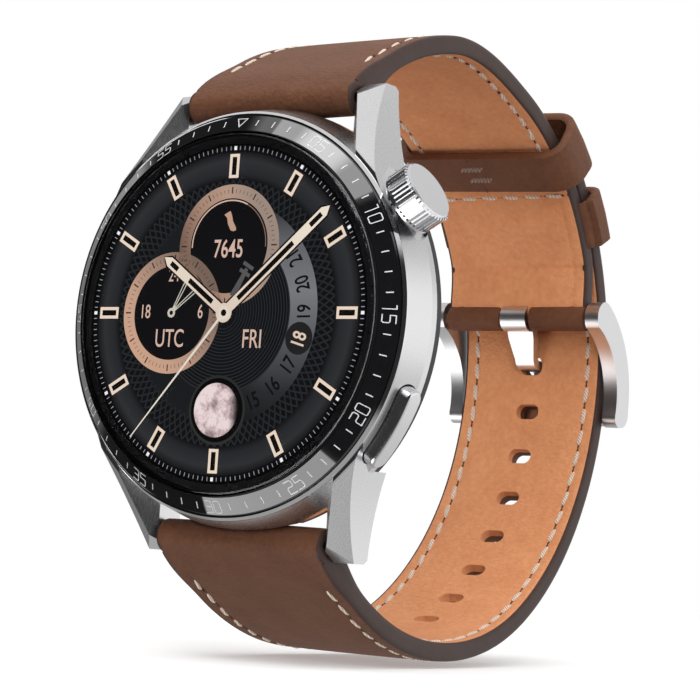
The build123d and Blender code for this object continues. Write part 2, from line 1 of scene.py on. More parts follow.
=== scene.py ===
import bmesh
import bpy
import math
import random
from mathutils import Matrix, Vector


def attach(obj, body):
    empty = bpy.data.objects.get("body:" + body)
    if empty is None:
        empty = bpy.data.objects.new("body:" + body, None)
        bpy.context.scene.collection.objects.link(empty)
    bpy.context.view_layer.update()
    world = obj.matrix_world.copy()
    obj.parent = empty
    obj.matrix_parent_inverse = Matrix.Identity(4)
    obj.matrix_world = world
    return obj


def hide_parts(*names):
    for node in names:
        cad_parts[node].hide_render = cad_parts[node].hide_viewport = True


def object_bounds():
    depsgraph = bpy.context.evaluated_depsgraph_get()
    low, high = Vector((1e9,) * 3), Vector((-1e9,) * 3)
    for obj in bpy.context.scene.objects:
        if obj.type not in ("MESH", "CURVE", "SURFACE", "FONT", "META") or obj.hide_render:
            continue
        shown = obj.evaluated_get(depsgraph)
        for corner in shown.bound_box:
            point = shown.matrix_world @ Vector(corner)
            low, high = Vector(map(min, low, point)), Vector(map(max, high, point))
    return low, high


# The watch's looks. Lengths are millimetres until a mesh is made. +X is 3 o'clock, +Z is 12 o'clock,
# the dial faces -Y and the wrist is on the +Y side.

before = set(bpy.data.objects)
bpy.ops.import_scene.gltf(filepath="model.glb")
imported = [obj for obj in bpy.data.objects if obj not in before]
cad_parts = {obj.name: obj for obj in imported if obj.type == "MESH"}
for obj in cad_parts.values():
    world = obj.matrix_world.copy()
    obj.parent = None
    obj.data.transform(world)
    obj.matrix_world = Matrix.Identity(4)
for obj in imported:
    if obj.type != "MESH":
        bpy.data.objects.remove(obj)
cad_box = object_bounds()
rng = random.Random(7)
MM = 0.001


# ---- meshes ---------------------------------------------------------------------------------------------

class Shape:
    """Vertices and faces collected before they become one piece."""

    def __init__(self):
        self.verts = []
        self.faces = []

    def add(self, verts, faces):
        base = len(self.verts)
        self.verts += verts
        self.faces += [tuple(base + index for index in face) for face in faces]
        return self

    def piece(self, name, material, body="watch", slot=None, smooth=None, solid=True):
        mesh = bpy.data.meshes.new(name)
        mesh.from_pydata([(x * MM, y * MM, z * MM) for x, y, z in self.verts], [], self.faces)
        mesh.validate()
        if solid:
            outward(mesh)
        if smooth is not None:
            mesh.shade_smooth()
            mesh.set_sharp_from_angle(angle=math.radians(smooth))
        mesh.materials.append(material)
        made = bpy.data.objects.new(name, mesh)
        bpy.context.scene.collection.objects.link(made)
        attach(made, body)
        return made


def outward(mesh):
    """Turn every face of closed shells outward."""
    work = bmesh.new()
    work.from_mesh(mesh)
    bmesh.ops.recalc_face_normals(work, faces=work.faces)
    work.to_mesh(mesh)
    work.free()


def circle(count):
    """Evenly spread turns round a full circle, in radians."""
    return [2 * math.pi * index / count for index in range(count)]


def loft(rings, closed=False):
    """One skin through rings of equal length, with both ends capped unless it closes on itself."""
    count = len(rings[0])
    verts = [point for ring in rings for point in ring]
    faces = []
    for index in range(len(rings) if closed else len(rings) - 1):
        low, high = index * count, (index + 1) % len(rings) * count
        for side in range(count):
            after = (side + 1) % count
            faces.append((low + side, low + after, high + after, high + side))
    if not closed:
        faces.append(tuple(reversed(range(count))))
        faces.append(tuple(range(len(verts) - count, len(verts))))
    return verts, faces


# ---- materials ------------------------------------------------------------------------------------------

class Finish:
    """A node material with one Principled shader, in coordinates of one unit per millimetre."""

    def __init__(self, name):
        self.material = bpy.data.materials.new(name)
        self.material.use_nodes = True
        self.tree = self.material.node_tree
        self.tree.nodes.clear()
        self.shader = self.tree.nodes.new("ShaderNodeBsdfPrincipled")
        out = self.tree.nodes.new("ShaderNodeOutputMaterial")
        self.tree.links.new(self.shader.outputs[0], out.inputs[0])
        coords = self.tree.nodes.new("ShaderNodeTexCoord")
        scaled = self.node("VectorMath", {"operation": "SCALE"}, {0: coords.outputs["Object"], "Scale": 1000})
        self.place = scaled.outputs[0]

    def node(self, kind, settings, inputs):
        made = self.tree.nodes.new("ShaderNode" + kind)
        for key, value in settings.items():
            setattr(made, key, value)
        for key, value in inputs.items():
            self.feed(made.inputs[key], value)
        return made

    def feed(self, socket, value):
        if isinstance(value, bpy.types.NodeSocket):
            self.tree.links.new(value, socket)
        else:
            socket.default_value = value

    def set(self, **inputs):
        for key, value in inputs.items():
            self.feed(self.shader.inputs[key.replace("_", " ")], value)
        return self

    def stretched(self, scale, turn=(0, 0, 0), move=(0, 0, 0)):
        return self.node("Mapping", {}, {"Vector": self.place, "Scale": scale, "Rotation": turn,
                                         "Location": move}).outputs[0]

    def noise(self, scale, detail=3, roughness=0.5, place=None):
        return self.node("TexNoise", {}, {"Vector": place or self.place, "Scale": scale, "Detail": detail,
                                          "Roughness": roughness}).outputs["Fac"]

    def cells(self, scale):
        return self.node("TexVoronoi", {}, {"Vector": self.place, "Scale": scale}).outputs["Distance"]

    def spread(self, value, low, high, start=0.0, end=1.0, kind="LINEAR"):
        """Carry the span from start to end over to the span from low to high."""
        ends = {"Value": value, "From Min": start, "From Max": end, "To Min": low, "To Max": high}
        return self.node("MapRange", {"interpolation_type": kind}, ends).outputs[0]

    def math(self, operation, first, second):
        return self.node("Math", {"operation": operation}, {0: first, 1: second}).outputs[0]

    def blend(self, first, second, share):
        """Two values added, the first weighted by share and the second by the rest."""
        return self.math("ADD", self.math("MULTIPLY", first, share), self.math("MULTIPLY", second, 1 - share))

    def ramp(self, value, *stops):
        made = self.node("ValToRGB", {}, {"Fac": value})
        points = made.color_ramp.elements
        while len(points) < len(stops):
            points.new(0.5)
        for point, (position, colour) in zip(points, stops):
            point.position = position
            point.color = (*colour, 1)
        return made.outputs["Color"]

    def mix(self, factor, first, second):
        made = self.node("Mix", {"data_type": "RGBA"}, {0: factor})
        self.feed(made.inputs[6], first if isinstance(first, bpy.types.NodeSocket) else (*first, 1))
        self.feed(made.inputs[7], second if isinstance(second, bpy.types.NodeSocket) else (*second, 1))
        return made.outputs[2]

    def axis(self, index):
        return self.node("SeparateXYZ", {}, {0: self.place}).outputs[index]

    def length(self, place):
        return self.node("VectorMath", {"operation": "LENGTH"}, {0: place}).outputs["Value"]

    def from_middle(self):
        """Distance from the dial's middle, in millimetres."""
        flat = self.node("VectorMath", {"operation": "MULTIPLY"}, {0: self.place, 1: (1, 0, 1)}).outputs[0]
        return self.length(flat)

    def glow(self, colour, strength=1.0, rough=0.6):
        """Only shine: a black base that reflects nothing."""
        self.set(Base_Color=(0, 0, 0, 1), Roughness=rough, Specular_IOR_Level=0.0)
        self.set(Emission_Color=colour, Emission_Strength=strength)
        return self.material

    def bump(self, height, depth, strength=1.0, after=None):
        """Raise the surface by depth millimetres where height is 1."""
        made = self.node("Bump", {}, {"Height": height, "Distance": depth * MM, "Strength": strength})
        if after:
            self.feed(made.inputs["Normal"], after)
        self.feed(self.shader.inputs["Normal"], made.outputs[0])
        return made.outputs[0]


def leather(name, dark, light, grain, depth, rough, sheen=0.0):
    """Leather with fine pores, broad cloudy tone and slightly shinier high spots."""
    made = Finish(name)
    cloud = made.noise(0.22, 4, 0.6)
    pores = made.cells(grain)
    creases = made.noise(grain * 0.55, 6, 0.62)
    tone = made.blend(cloud, creases, 0.4)
    made.set(Base_Color=made.ramp(tone, (0.3, dark), (0.7, light)))
    made.set(Roughness=made.spread(creases, rough - 0.07, rough + 0.09, 0.3, 0.7))
    made.set(Specular_IOR_Level=0.2, Sheen_Weight=sheen, Sheen_Roughness=0.5)
    first = made.bump(creases, depth)
    made.bump(pores, depth * 0.7, 0.8, first)
    return made.material


def metal(name, colour, rough, stretch, depth):
    """Bare metal with fine scratches along one direction and a little uneven polish."""
    made = Finish(name)
    lines = made.noise(1.0, 5, 0.7, made.stretched(stretch))
    smudge = made.noise(0.35, 3, 0.5)
    shade = [channel * 0.93 for channel in colour]
    made.set(Base_Color=made.mix(lines, shade, colour), Metallic=1.0)
    wear = made.math("ADD", made.spread(lines, -0.03, 0.03), made.spread(smudge, rough - 0.02, rough + 0.03))
    made.set(Roughness=wear)
    made.bump(lines, depth)
    return made


def plastic(name, colour, rough, grain=4.0, depth=0.01):
    """Plastic or rubber with a fine speckle."""
    made = Finish(name)
    speckle = made.noise(grain, 4, 0.6)
    shade = [channel * 0.75 for channel in colour]
    made.set(Base_Color=made.mix(speckle, shade, colour))
    made.set(Roughness=made.spread(speckle, rough * 0.85, rough * 1.15))
    made.bump(speckle, depth)
    return made.material


def lit(name, inner, outer, strength=1.0, reach=18.0, grain=0.06):
    """A lit part of the display's picture: its colour drifts from the dial's middle to its rim."""
    made = Finish(name)
    fine = made.noise(9.0, 2, 0.5)
    share = made.math("ADD", made.math("DIVIDE", made.from_middle(), reach), made.spread(fine, -grain, grain))
    return made.glow(made.mix(share, inner, outer), strength)


def steel_case():
    """Brushed steel whose narrow front lip is mirror polished."""
    made = metal("brushed_steel", (0.78, 0.78, 0.79), 0.27, (9, 9, 0.5), 0.0012)
    depth = made.axis(1)
    lip = made.spread(depth, 1.0, 0.0, -9.98, -9.8)
    brushed = made.shader.inputs["Roughness"].links[0].from_socket
    made.set(Roughness=made.math("MULTIPLY", brushed, made.spread(lip, 1.0, 0.25)))
    return made.material


def turned_steel():
    """Polished steel with very fine turning marks round the crown's own axis."""
    made = metal("turned_steel", (0.8, 0.8, 0.81), 0.17, (2, 2, 2), 0.0006)
    place = made.stretched((1, 1, 1), (0, math.radians(30), 0), (0, 8.3, 0))
    marks = {"Vector": place, "Scale": 1.6, "Distortion": 0.6, "Detail": 2, "Detail Scale": 1.5}
    rings = made.node("TexWave", {"wave_type": "RINGS", "rings_direction": "X"}, marks).outputs["Fac"]
    made.bump(rings, 0.004)
    return made.material


def crystal_glass():
    """Clear cover glass with a barely visible haze."""
    made = Finish("crystal_glass")
    haze = made.noise(0.6, 3)
    made.set(Base_Color=made.mix(haze, (0.97, 0.98, 1.0), (1, 1, 1)), Transmission_Weight=1.0, IOR=1.5)
    made.set(Roughness=made.spread(haze, 0.0, 0.012), Specular_IOR_Level=0.22)
    return made.material


def gloss_black(name, rough, shine=0.5, coat=0.0):
    """Near-black gloss; coat is the share of a clear layer on top."""
    made = Finish(name)
    fine = made.noise(1.2, 3)
    made.set(Base_Color=made.mix(fine, (0.004, 0.004, 0.005), (0.008, 0.008, 0.009)))
    made.set(Roughness=made.spread(fine, rough * 0.7, rough * 1.3), Specular_IOR_Level=shine)
    made.set(Coat_Weight=coat, Coat_Roughness=0.02, Coat_IOR=1.5)
    made.bump(fine, 0.0008)
    return made.material


def thread_finish(name, dark, light):
    """Twisted thread: fine slanted strands."""
    made = Finish(name)
    twist = {"Vector": made.place, "Scale": 1.3, "Distortion": 2.0, "Detail": 2}
    strands = made.node("TexWave", {"bands_direction": "DIAGONAL"}, twist).outputs["Fac"]
    made.set(Base_Color=made.mix(strands, dark, light), Roughness=made.spread(strands, 0.75, 0.55))
    made.set(Sheen_Weight=0.3)
    made.bump(strands, 0.05)
    return made.material


def display_glass():
    """The dark part of the display: near-black, and fully black outside the picture."""
    made = Finish("display_dark")
    share = made.math("DIVIDE", made.from_middle(), 19.0)
    inside = made.ramp(share, (0.0, (0.006, 0.007, 0.009)), (0.6, (0.004, 0.005, 0.006)),
                       (0.93, (0.003, 0.003, 0.004)), (0.955, (0.0, 0.0, 0.0)))
    return made.glow(inside, rough=made.spread(made.noise(3.0), 0.3, 0.4))


LEATHER = leather("outer_leather_fine", (0.117, 0.045, 0.023), (0.186, 0.079, 0.042), 2.1, 0.1, 0.55)
LINING = leather("lining_nubuck", (0.7, 0.275, 0.118), (0.87, 0.4, 0.19), 2.6, 0.11, 0.78, 0.05)
EDGE = leather("painted_edge", (0.05, 0.03, 0.026), (0.075, 0.048, 0.042), 1.8, 0.012, 0.42)
THREAD = thread_finish("cream_thread", (0.62, 0.45, 0.33), (0.95, 0.82, 0.7))
BROWN_THREAD = thread_finish("brown_thread", (0.16, 0.095, 0.07), (0.32, 0.21, 0.16))
# A dark brown used as painted shade in the needle holes, and as the keeper's dark butt joint.
HOLE_SHADE_AND_JOINT = plastic("needle_hollow", (0.12, 0.05, 0.025), 0.8)
BRUSHED = metal("brushed_buckle", (0.78, 0.78, 0.79), 0.36, (1, 9, 9), 0.001).material
FINISHES = {
    "steel": steel_case(),
    "polished_steel": metal("polished_steel_finish", (0.82, 0.82, 0.83), 0.12, (2, 6, 2), 0.0006).material,
    "cover_glass": crystal_glass(),
    "black_gloss": gloss_black("bezel_gloss", 0.035, 1.0, 1.0),
    "window_gloss": gloss_black("window_black", 0.05),
    "black_polymer": plastic("satin_polymer", (0.02, 0.02, 0.022), 0.42, 8.0, 0.004),
    "display": display_glass(),
    "chassis": metal("machined_chassis", (0.5, 0.5, 0.52), 0.35, (6, 1, 1), 0.002).material,
    "inner_plastic": plastic("moulded_plastic", (0.08, 0.08, 0.09), 0.5),
    "battery_foil": metal("battery_wrap", (0.55, 0.56, 0.58), 0.3, (1, 1, 1), 0.01).material,
    "circuit_board": plastic("solder_mask", (0.03, 0.12, 0.07), 0.4, 2.0, 0.02),
    "copper": metal("wound_copper", (0.72, 0.42, 0.26), 0.3, (12, 12, 12), 0.01).material,
    "seal": plastic("soft_seal", (0.03, 0.03, 0.03), 0.7),
    "outer_leather": LEATHER,
    "lining_leather": LINING,
}
OWN_FINISH = {
    "crown_cap": turned_steel(),
    "button_cap": metal("satin_steel", (0.8, 0.8, 0.81), 0.2, (14, 1, 1), 0.0010).material,
    "buckle_tongue": BRUSHED,
    "buckle_frame": BRUSHED,
}


def dress_nodes():
    """Give every CAD node its node material."""
    for name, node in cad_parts.items():
        for holder in node.material_slots:
            slot = holder.material.name.split(".")[0]
            holder.material = OWN_FINISH.get(name, FINISHES[slot])


# ---- strap shape ----------------------------------------------------------------------------------------

# Angles are degrees round the loop's middle, 0 opposite the watch and positive towards 12 o'clock.
# Pairs are (y, z).
LOOP_Y = 20.7
LUG_END = 136.8
STRAP_END = 135.4
BUCKLE_END = 13.5
TAIL_END = 55.0
TAIL_RADIUS = 35.5
TAIL_CORNER = 6
BAR = {"short": (-4.9, 24.0), "long": (-4.9, -24.0)}
BUCKLE_BAR = (51.0, 7.0)
BAR_ROLL_HALF = 10.9
STITCH_INSET = 1.75
STITCH_PITCH = 2.85
FOLD_ANGLE = 42.5
CREASE_ANGLE = 24.5
FIXED_ANGLE = 33.5
LOOSE_ANGLE = 51.4
LOOSE_SLANT = -1.6
KEEPER_RADIUS = 34.5
KEEPER_INNER = 31.65
SLOTS = 8
FIRST_SLOT = 2.0
SLOT_STEP = 10.1
TONGUE_STRETCH = 1.22


def ease(value, start, end):
    """A soft step from 0 at start to 1 at end."""
    step = min(max((value - start) / (end - start), 0), 1)
    return step * step * (3 - 2 * step)


def middle(strap, angle):
    """Radius of the glue line between the strap's two layers."""
    if strap == "short":
        lean = -1.75 * (1 - ease(angle, 13, 27)) + 1.5 * ease(angle, 70, 100)
        return 33.2 + lean + 0.4 * ease(angle, 100, LUG_END)
    return 35.55 - 0.45 * (1 - ease(angle, -95, -60))


def layer(angle):
    """Thickness of one leather layer."""
    return 1.1 + 0.75 * ease(abs(angle), 122, LUG_END - 2)


def on_loop(angle, radius):
    """The (y, z) of a point on the loop."""
    turn = math.radians(angle)
    return LOOP_Y + radius * math.cos(turn), radius * math.sin(turn)


def half_width(strap, angle):
    """Half the strap's width, rounded off at the long strap's tail."""
    y = on_loop(angle, middle(strap, angle))[0]
    half = 10.9 - 0.9 * min(max((y + 8) / 60, 0), 1)
    if strap == "long":
        left = math.radians(TAIL_END - angle) * TAIL_RADIUS
        if left < TAIL_CORNER:
            half += -TAIL_CORNER + math.sqrt(max(TAIL_CORNER ** 2 - (TAIL_CORNER - left) ** 2, 0))
    return half


def steps(start, end, size=1.5):
    count = max(int(abs(end - start) / size), 1)
    return [start + (end - start) * index / count for index in range(count + 1)]


def along_tail(left):
    """The angle at this many millimetres before the long strap's tail end."""
    return TAIL_END - math.degrees(left / TAIL_RADIUS)


def stations(strap):
    """Angles along one strap, from its buckle or tail end to its lug."""
    if strap == "short":
        near_crease = steps(CREASE_ANGLE - 1.5, CREASE_ANGLE + 1.5, 0.25)
        near_fold = steps(FOLD_ANGLE - 1.2, FOLD_ANGLE + 1.2, 0.3)
        return (steps(BUCKLE_END, CREASE_ANGLE - 2) + near_crease + steps(CREASE_ANGLE + 2, FOLD_ANGLE - 1.6)
                + near_fold + steps(FOLD_ANGLE + 1.6, STRAP_END))
    tail = [along_tail(left) for left in (0.02, 0.1, 0.3, 0.6, 1, 1.6, 2.3, 3.2, 4.4, 6)]
    return tail + steps(TAIL_END - 11, -STRAP_END)


def face_outline(half, top, lowered, sunk=1.0):
    """Points across one face, from -x to +x: rounded edges, a stitch groove near each and a low crown."""
    groove, bank, bed = STITCH_INSET, 0.02 - 0.09 * sunk, 0.02 - 0.14 * sunk
    across = [(0.0, -0.42), (0.06, -0.2), (0.18, -0.06), (0.4, 0.0), (groove - 0.45, 0.02),
              (groove - 0.18, bank), (groove, bed), (groove + 0.18, bank), (groove + 0.5, 0.02),
              (half * 0.45, 0.05)]
    left = [(-half + inset, top + rise) for inset, rise in across]
    right = [(-x, rise) for x, rise in reversed(left)]
    whole = left + [(0, top + 0.06)] + right
    return [(x, rise - (lowered if abs(x) < half - 0.3 else 0)) for x, rise in whole]


def layer_ring(strap, angle, side, lowered=0.0):
    """The closed section of one leather layer at this angle."""
    half = half_width(strap, angle) - 0.08
    inner = middle(strap, angle)
    outline = face_outline(max(half, 3.2), layer(angle), lowered, 1 - ease(abs(angle), 129.5, 132))
    ring = []
    for x, rise in outline + [(half, 0.0), (-half, 0.0)]:
        y, z = on_loop(angle, inner + side * rise)
        ring.append((x, y, z))
    return ring


def roll_ring(strap, turn):
    """The leather's section where it wraps a spring bar, turned from its outer face round the front."""
    centre = BAR[strap]
    way = 1 if strap == "short" else -1
    angle = way * math.radians(LUG_END)
    start = (math.cos(angle), math.sin(angle))
    along = (-math.sin(angle) * way, math.cos(angle) * way)
    direction = [math.cos(turn) * a + math.sin(turn) * b for a, b in zip(start, along)]
    half = BAR_ROLL_HALF - 0.08
    inner = 0.88
    outer = 1.85 + 0.12 * math.sin(turn)
    section = face_outline(half, outer - inner, 0.0, 0.0) + [(half, 0.0), (-half, 0.0)]
    points = [(x, inner + rise) for x, rise in section]
    return [(x, centre[0] + r * direction[0], centre[1] + r * direction[1]) for x, r in points]


def strap_outer(strap):
    """The brown layer, with its roll round the spring bar and, on the short strap, round the buckle's bar."""
    way = 1 if strap == "short" else -1
    rings = [layer_ring(strap, angle, 1) for angle in stations(strap) + [way * 136.2]]
    rings += [roll_ring(strap, math.radians(turn)) for turn in range(4, 200, 12)]
    made = Shape().add(*loft(rings))
    if strap == "short":
        for start, end in ((-10.0, -2.15), (2.15, 10.0)):
            made.add(*buckle_roll(start, end))
    return made


def buckle_roll(start, end):
    """A leather sleeve round the buckle's bar, with rounded rims."""
    profile = [(start, 0.82), (start, 1.45), (start + 0.08, 1.58), (start + 0.25, 1.65),
               ((start + end) / 2, 1.66), (end - 0.25, 1.65), (end - 0.08, 1.58), (end, 1.45), (end, 0.82)]
    return round_bar(profile, BUCKLE_BAR)


def round_bar(profile, centre):
    """A skin turned round a bar along x from (x, radius) pairs."""
    return loft([[(x, centre[0] + r * math.cos(turn), centre[1] + r * math.sin(turn)) for x, r in profile]
                 for turn in circle(40)], closed=True)


def strap_lining(strap):
    """The tan layer; on the short strap a crease and a fold run across it."""
    rings = []
    for angle in stations(strap):
        lowered = 0.0
        if strap == "short":
            lowered = 0.22 * math.exp(-((angle - CREASE_ANGLE) / 0.6) ** 2)
            lowered += 0.12 * math.exp(-((angle - FOLD_ANGLE) / 0.4) ** 2)
        rings.append(layer_ring(strap, angle, -1, lowered))
    return Shape().add(*loft(rings))


def edge_section(depth):
    """A softly bulging painted edge: (outward, height from the lining face) pairs."""
    low = [(-0.5, 0.1), (-0.2, 0.03), (-0.06, 0.09), (0.03, 0.3), (0.1, depth * 0.36)]
    return low + [(0.06, depth * 0.5)] + [(out, depth - height) for out, height in reversed(low)]


def edge_ring(strap, x, angle, out_x, out_along):
    """The painted edge's section at x; (out_x, out_along) is its way outward, across and along the strap."""
    thick = layer(angle)
    ring = []
    for out, height in edge_section(2 * thick):
        turn = angle + math.degrees(out * out_along / 35.0)
        y, z = on_loop(turn, middle(strap, angle) - thick + height)
        ring.append((x + out * out_x, y, z))
    return ring


def strap_edges(strap):
    made = Shape()
    angles = stations(strap)
    if strap == "short":
        for side in (-1, 1):
            rings = [edge_ring(strap, side * half_width(strap, angle), angle, side, 0) for angle in angles]
            made.add(*loft(rings))
    else:
        made.add(*loft(tail_path(angles)))
    for side in (-1, 1):
        made.add(*roll_edge(strap, side))
    return made


def tail_path(angles):
    """The long strap's edge, from one lug round the tail to the other."""
    straight = [angle for angle in angles if angle < along_tail(TAIL_CORNER + 0.2)]
    half = half_width("long", straight[0])
    corner = []
    for index in range(13):
        turn = math.pi / 2 * index / 12
        x = half - TAIL_CORNER + TAIL_CORNER * math.cos(turn)
        angle = along_tail(TAIL_CORNER - TAIL_CORNER * math.sin(turn))
        corner.append((x, angle, math.cos(turn), math.sin(turn)))
    one_side = [(half_width("long", angle), angle, 1, 0) for angle in reversed(straight)] + corner
    other = [(-x, angle, -out_x, out_along) for x, angle, out_x, out_along in reversed(one_side)]
    return [edge_ring("long", *point) for point in one_side + other]


def roll_edge(strap, side):
    """The painted end face of the leather roll round a spring bar."""
    profile = [(-0.4, 0.9), (-0.06, 0.9), (0.03, 1.15), (0.03, 1.55), (-0.06, 1.8), (-0.2, 1.88),
               (-0.4, 1.86)]
    return round_bar([(side * (BAR_ROLL_HALF + out), r) for out, r in profile], BAR[strap])


# ---- stitching ------------------------------------------------------------------------------------------

def stitch(centre, along, up, length=2.35, width=0.32, slant=0.0):
    """One thread stitch that dips into the leather at both ends; width is half its full width."""
    centre, along, up = Vector(centre), Vector(along).normalized(), Vector(up).normalized()
    along = Matrix.Rotation(slant, 3, up) @ along
    across = along.cross(up)
    rings = []
    for index in range(9):
        share = -1 + index / 4
        middle_point = centre + along * (share * length / 2) + up * (0.17 * (1 - share ** 4) - 0.12)
        radius = width * (1 - 0.45 * share ** 4)
        wide, high = across * radius, up * (radius * 0.75)
        rings.append([tuple(middle_point + wide * math.cos(turn) + high * math.sin(turn))
                      for turn in circle(8)])
    return loft(rings)


def dimples(point, up, along, hole_shades):
    """Painted shade for the needle holes at both ends of a stitch: small dark discs set on the leather."""
    for way in (-1, 1):
        hole_shades.add(*dimple(Vector(point) + Vector(along) * (way * 1.2) + Vector(up) * 0.03, up, along))


# A small dark disc: painted shade standing in for one needle hole.
def dimple(centre, up, along):
    up, along = Vector(up).normalized(), Vector(along).normalized()
    across = along.cross(up)
    points = [along * (0.26 * math.cos(turn)) + across * (0.2 * math.sin(turn)) for turn in circle(10)]
    top = [tuple(centre + point + up * 0.015) for point in points]
    bottom = [tuple(centre + point - up * 0.1) for point in points]
    return loft([bottom, top])


def face_frame(strap, angle, x, side):
    """A point on a strap face, with the directions along the strap and out of the face."""
    thick = layer(angle)
    y, z = on_loop(angle, middle(strap, angle) + side * (thick - 0.1))
    turn = math.radians(angle)
    return (x, y, z), (0, -math.sin(turn), math.cos(turn)), (0, side * math.cos(turn), side * math.sin(turn))


def seam_angles(start, end):
    """The middles of a row of stitches along the strap."""
    count = int(abs(math.radians(end - start)) * 35.0 / STITCH_PITCH)
    return [start + (end - start) * (index + 0.5) / count for index in range(count)]


def edge_seams(strap, side, threads, hole_shades):
    """The two rows of stitches along one face of a strap."""
    start, end = (FOLD_ANGLE + 1.5, 129.0) if strap == "short" else (-129.0, TAIL_END - 9.5)
    width = 0.24 if side > 0 else 0.33
    for angle in seam_angles(start, end):
        for hand in (-1, 1):
            x = hand * (half_width(strap, angle) - STITCH_INSET)
            point, along, up = face_frame(strap, angle, x, side)
            tilt = hand * side * 0.13 + rng.uniform(-0.04, 0.04)
            threads.add(*stitch(point, along, up, 2.2, width, tilt))
            dimples(point, up, along, hole_shades)


def across_seam(strap, angle, side, threads, hole_shades, reach):
    """A row of stitches straight across a strap face."""
    count = int(2 * reach / 2.75)
    for index in range(count):
        x = -reach + 2 * reach * (index + 0.5) / count
        point, along, up = face_frame(strap, angle, x, side)
        threads.add(*stitch(point, (1, 0, 0), up, slant=-0.1 + rng.uniform(-0.03, 0.03)))
        dimples(point, up, (1, 0, 0), hole_shades)


def tail_seam(side, threads, hole_shades):
    """The stitches round the long strap's tail."""
    half = half_width("long", TAIL_END - 11)
    radius = TAIL_CORNER - STITCH_INSET
    for index in range(3):
        turn = math.pi / 2 * (index + 0.35) / 3
        for hand in (-1, 1):
            x = hand * (half - TAIL_CORNER + radius * math.cos(turn))
            angle = along_tail(TAIL_CORNER - radius * math.sin(turn))
            point, along, up = face_frame("long", angle, x, side)
            way = Vector(along) * math.cos(turn) - Vector((hand * math.sin(turn), 0, 0))
            threads.add(*stitch(point, way, up))
    across_seam("long", along_tail(STITCH_INSET), side, threads, hole_shades, half - 5.6)


# ---- keepers --------------------------------------------------------------------------------------------

def keeper_path(half, inner, outer, corner):
    """(x, radius, out_x, out_radius) round a rounded rectangle."""
    path = []
    for centre_x, centre_r, first in ((half - corner, outer - corner, 0), (corner - half, outer - corner, 1),
                                      (corner - half, inner + corner, 2), (half - corner, inner + corner, 3)):
        for index in range(9):
            turn = math.pi / 2 * (first + index / 8)
            path.append((centre_x + corner * math.cos(turn), centre_r + corner * math.sin(turn),
                         math.cos(turn), math.sin(turn)))
    filled = []
    for index, point in enumerate(path):
        filled.append(point)
        after = path[(index + 1) % len(path)]
        if index % 9 == 8:
            for step in range(1, 8):
                share = step / 8
                filled.append(tuple(a + (b - a) * share for a, b in zip(point, after)))
    return filled


def keeper_band(angle, path, thickness, width, slant):
    """A leather band swept round the path; thickness may change along it."""
    rings = []
    for x, radius, out_x, out_r in path:
        thick = thickness(radius)
        rings.append([])
        w, t = width / 2, thick
        low = [(-w + 0.15, 0), (-w, 0.25 * t), (-w - 0.04, 0.5 * t), (-w, 0.75 * t), (-w + 0.15, t),
               (-w + 0.5, t + 0.02)]
        section = low + [(0, t + 0.05)] + [(-along, out) for along, out in reversed(low)]
        for along, out in section:
            px, pr = x + out_x * out, radius + out_r * out
            rings[-1].append((px, *on_loop(keeper_turn(angle, slant, px, along), pr)))
    return loft(rings, closed=True)


def keeper_turn(angle, slant, x, along):
    """The angle of a point on a keeper: along is millimetres from the keeper's slanted middle line."""
    return angle + slant * x / 21 + math.degrees(along / KEEPER_RADIUS)


def loose_keeper():
    path = keeper_path(10.95, KEEPER_INNER, 37.3, 1.9)
    return Shape().add(*keeper_band(LOOSE_ANGLE, path, lambda radius: 1.15, 6.5, LOOSE_SLANT))


def keeper_marks(threads, joint):
    """The butt joint and its two thread staples, on the keeper's wrist-side run."""
    def on_band(x, along, lift):
        return (x, *on_loop(keeper_turn(LOOSE_ANGLE, LOOSE_SLANT, x, along), KEEPER_INNER - 1.2 + lift))

    turn = math.radians(LOOSE_ANGLE)
    up = Vector((0, -math.cos(turn), -math.sin(turn)))
    lean = Vector((1, 0, 0)) + Vector((0, -math.sin(turn), math.cos(turn))) * 0.9
    for row in (-1, 1):
        for strand in range(6):
            x = -0.9 - 0.35 * row + (strand - 2.5) * 0.5
            threads.add(*stitch(on_band(x, row, 0.05), lean, up, 1.25, 0.2))
    rings = []
    for index in range(13):
        share = index / 12
        x = -1.35 + 0.9 * (1 - share) + 0.07 * math.sin(index * 1.7)
        along = -3.2 + 6.4 * share
        corners = ((-0.06, -0.012), (0.06, -0.012), (0.06, 0.2), (-0.06, 0.2))
        rings.append([on_band(x + dx, along, lift) for dx, lift in corners])
    joint.add(*loft(rings))


def fixed_keeper():
    """Its inner run is thin and sewn in between the short strap's layers."""
    path = keeper_path(10.45, 33.45, 37.2, 1.0)
    band = keeper_band(FIXED_ANGLE, path, lambda radius: 1.15 if radius > 34.4 else 0.35, 6.4, 0.0)
    return Shape().add(*band)


# ---- strap pieces ---------------------------------------------------------------------------------------

def punched(piece):
    """Cut the eight adjusting slots through a long strap layer."""
    cutters = Shape()
    for index in range(SLOTS):
        angle = FIRST_SLOT - SLOT_STEP * index
        turn = math.radians(angle)
        stretch = 1.0 if index else TONGUE_STRETCH
        outline = []
        for around in circle(24):
            side = 0.65 if math.cos(around) > 0 else -0.65
            outline.append((side + math.cos(around), stretch * math.sin(around)))
        rings = []
        for radius in (33.0, 38.5):
            y, z = on_loop(angle, radius)
            rings.append([(x, y - s * math.sin(turn), z + s * math.cos(turn)) for x, s in outline])
        cutters.add(*loft(rings))
    cutter = cutters.piece("slot_cutter", HOLE_SHADE_AND_JOINT)
    cut = piece.modifiers.new("slots", "BOOLEAN")
    cut.object = cutter
    cut.solver = "EXACT"
    view = bpy.context.evaluated_depsgraph_get()
    mesh = bpy.data.meshes.new_from_object(piece.evaluated_get(view))
    piece.modifiers.clear()
    piece.data = mesh
    bpy.data.objects.remove(cutter)


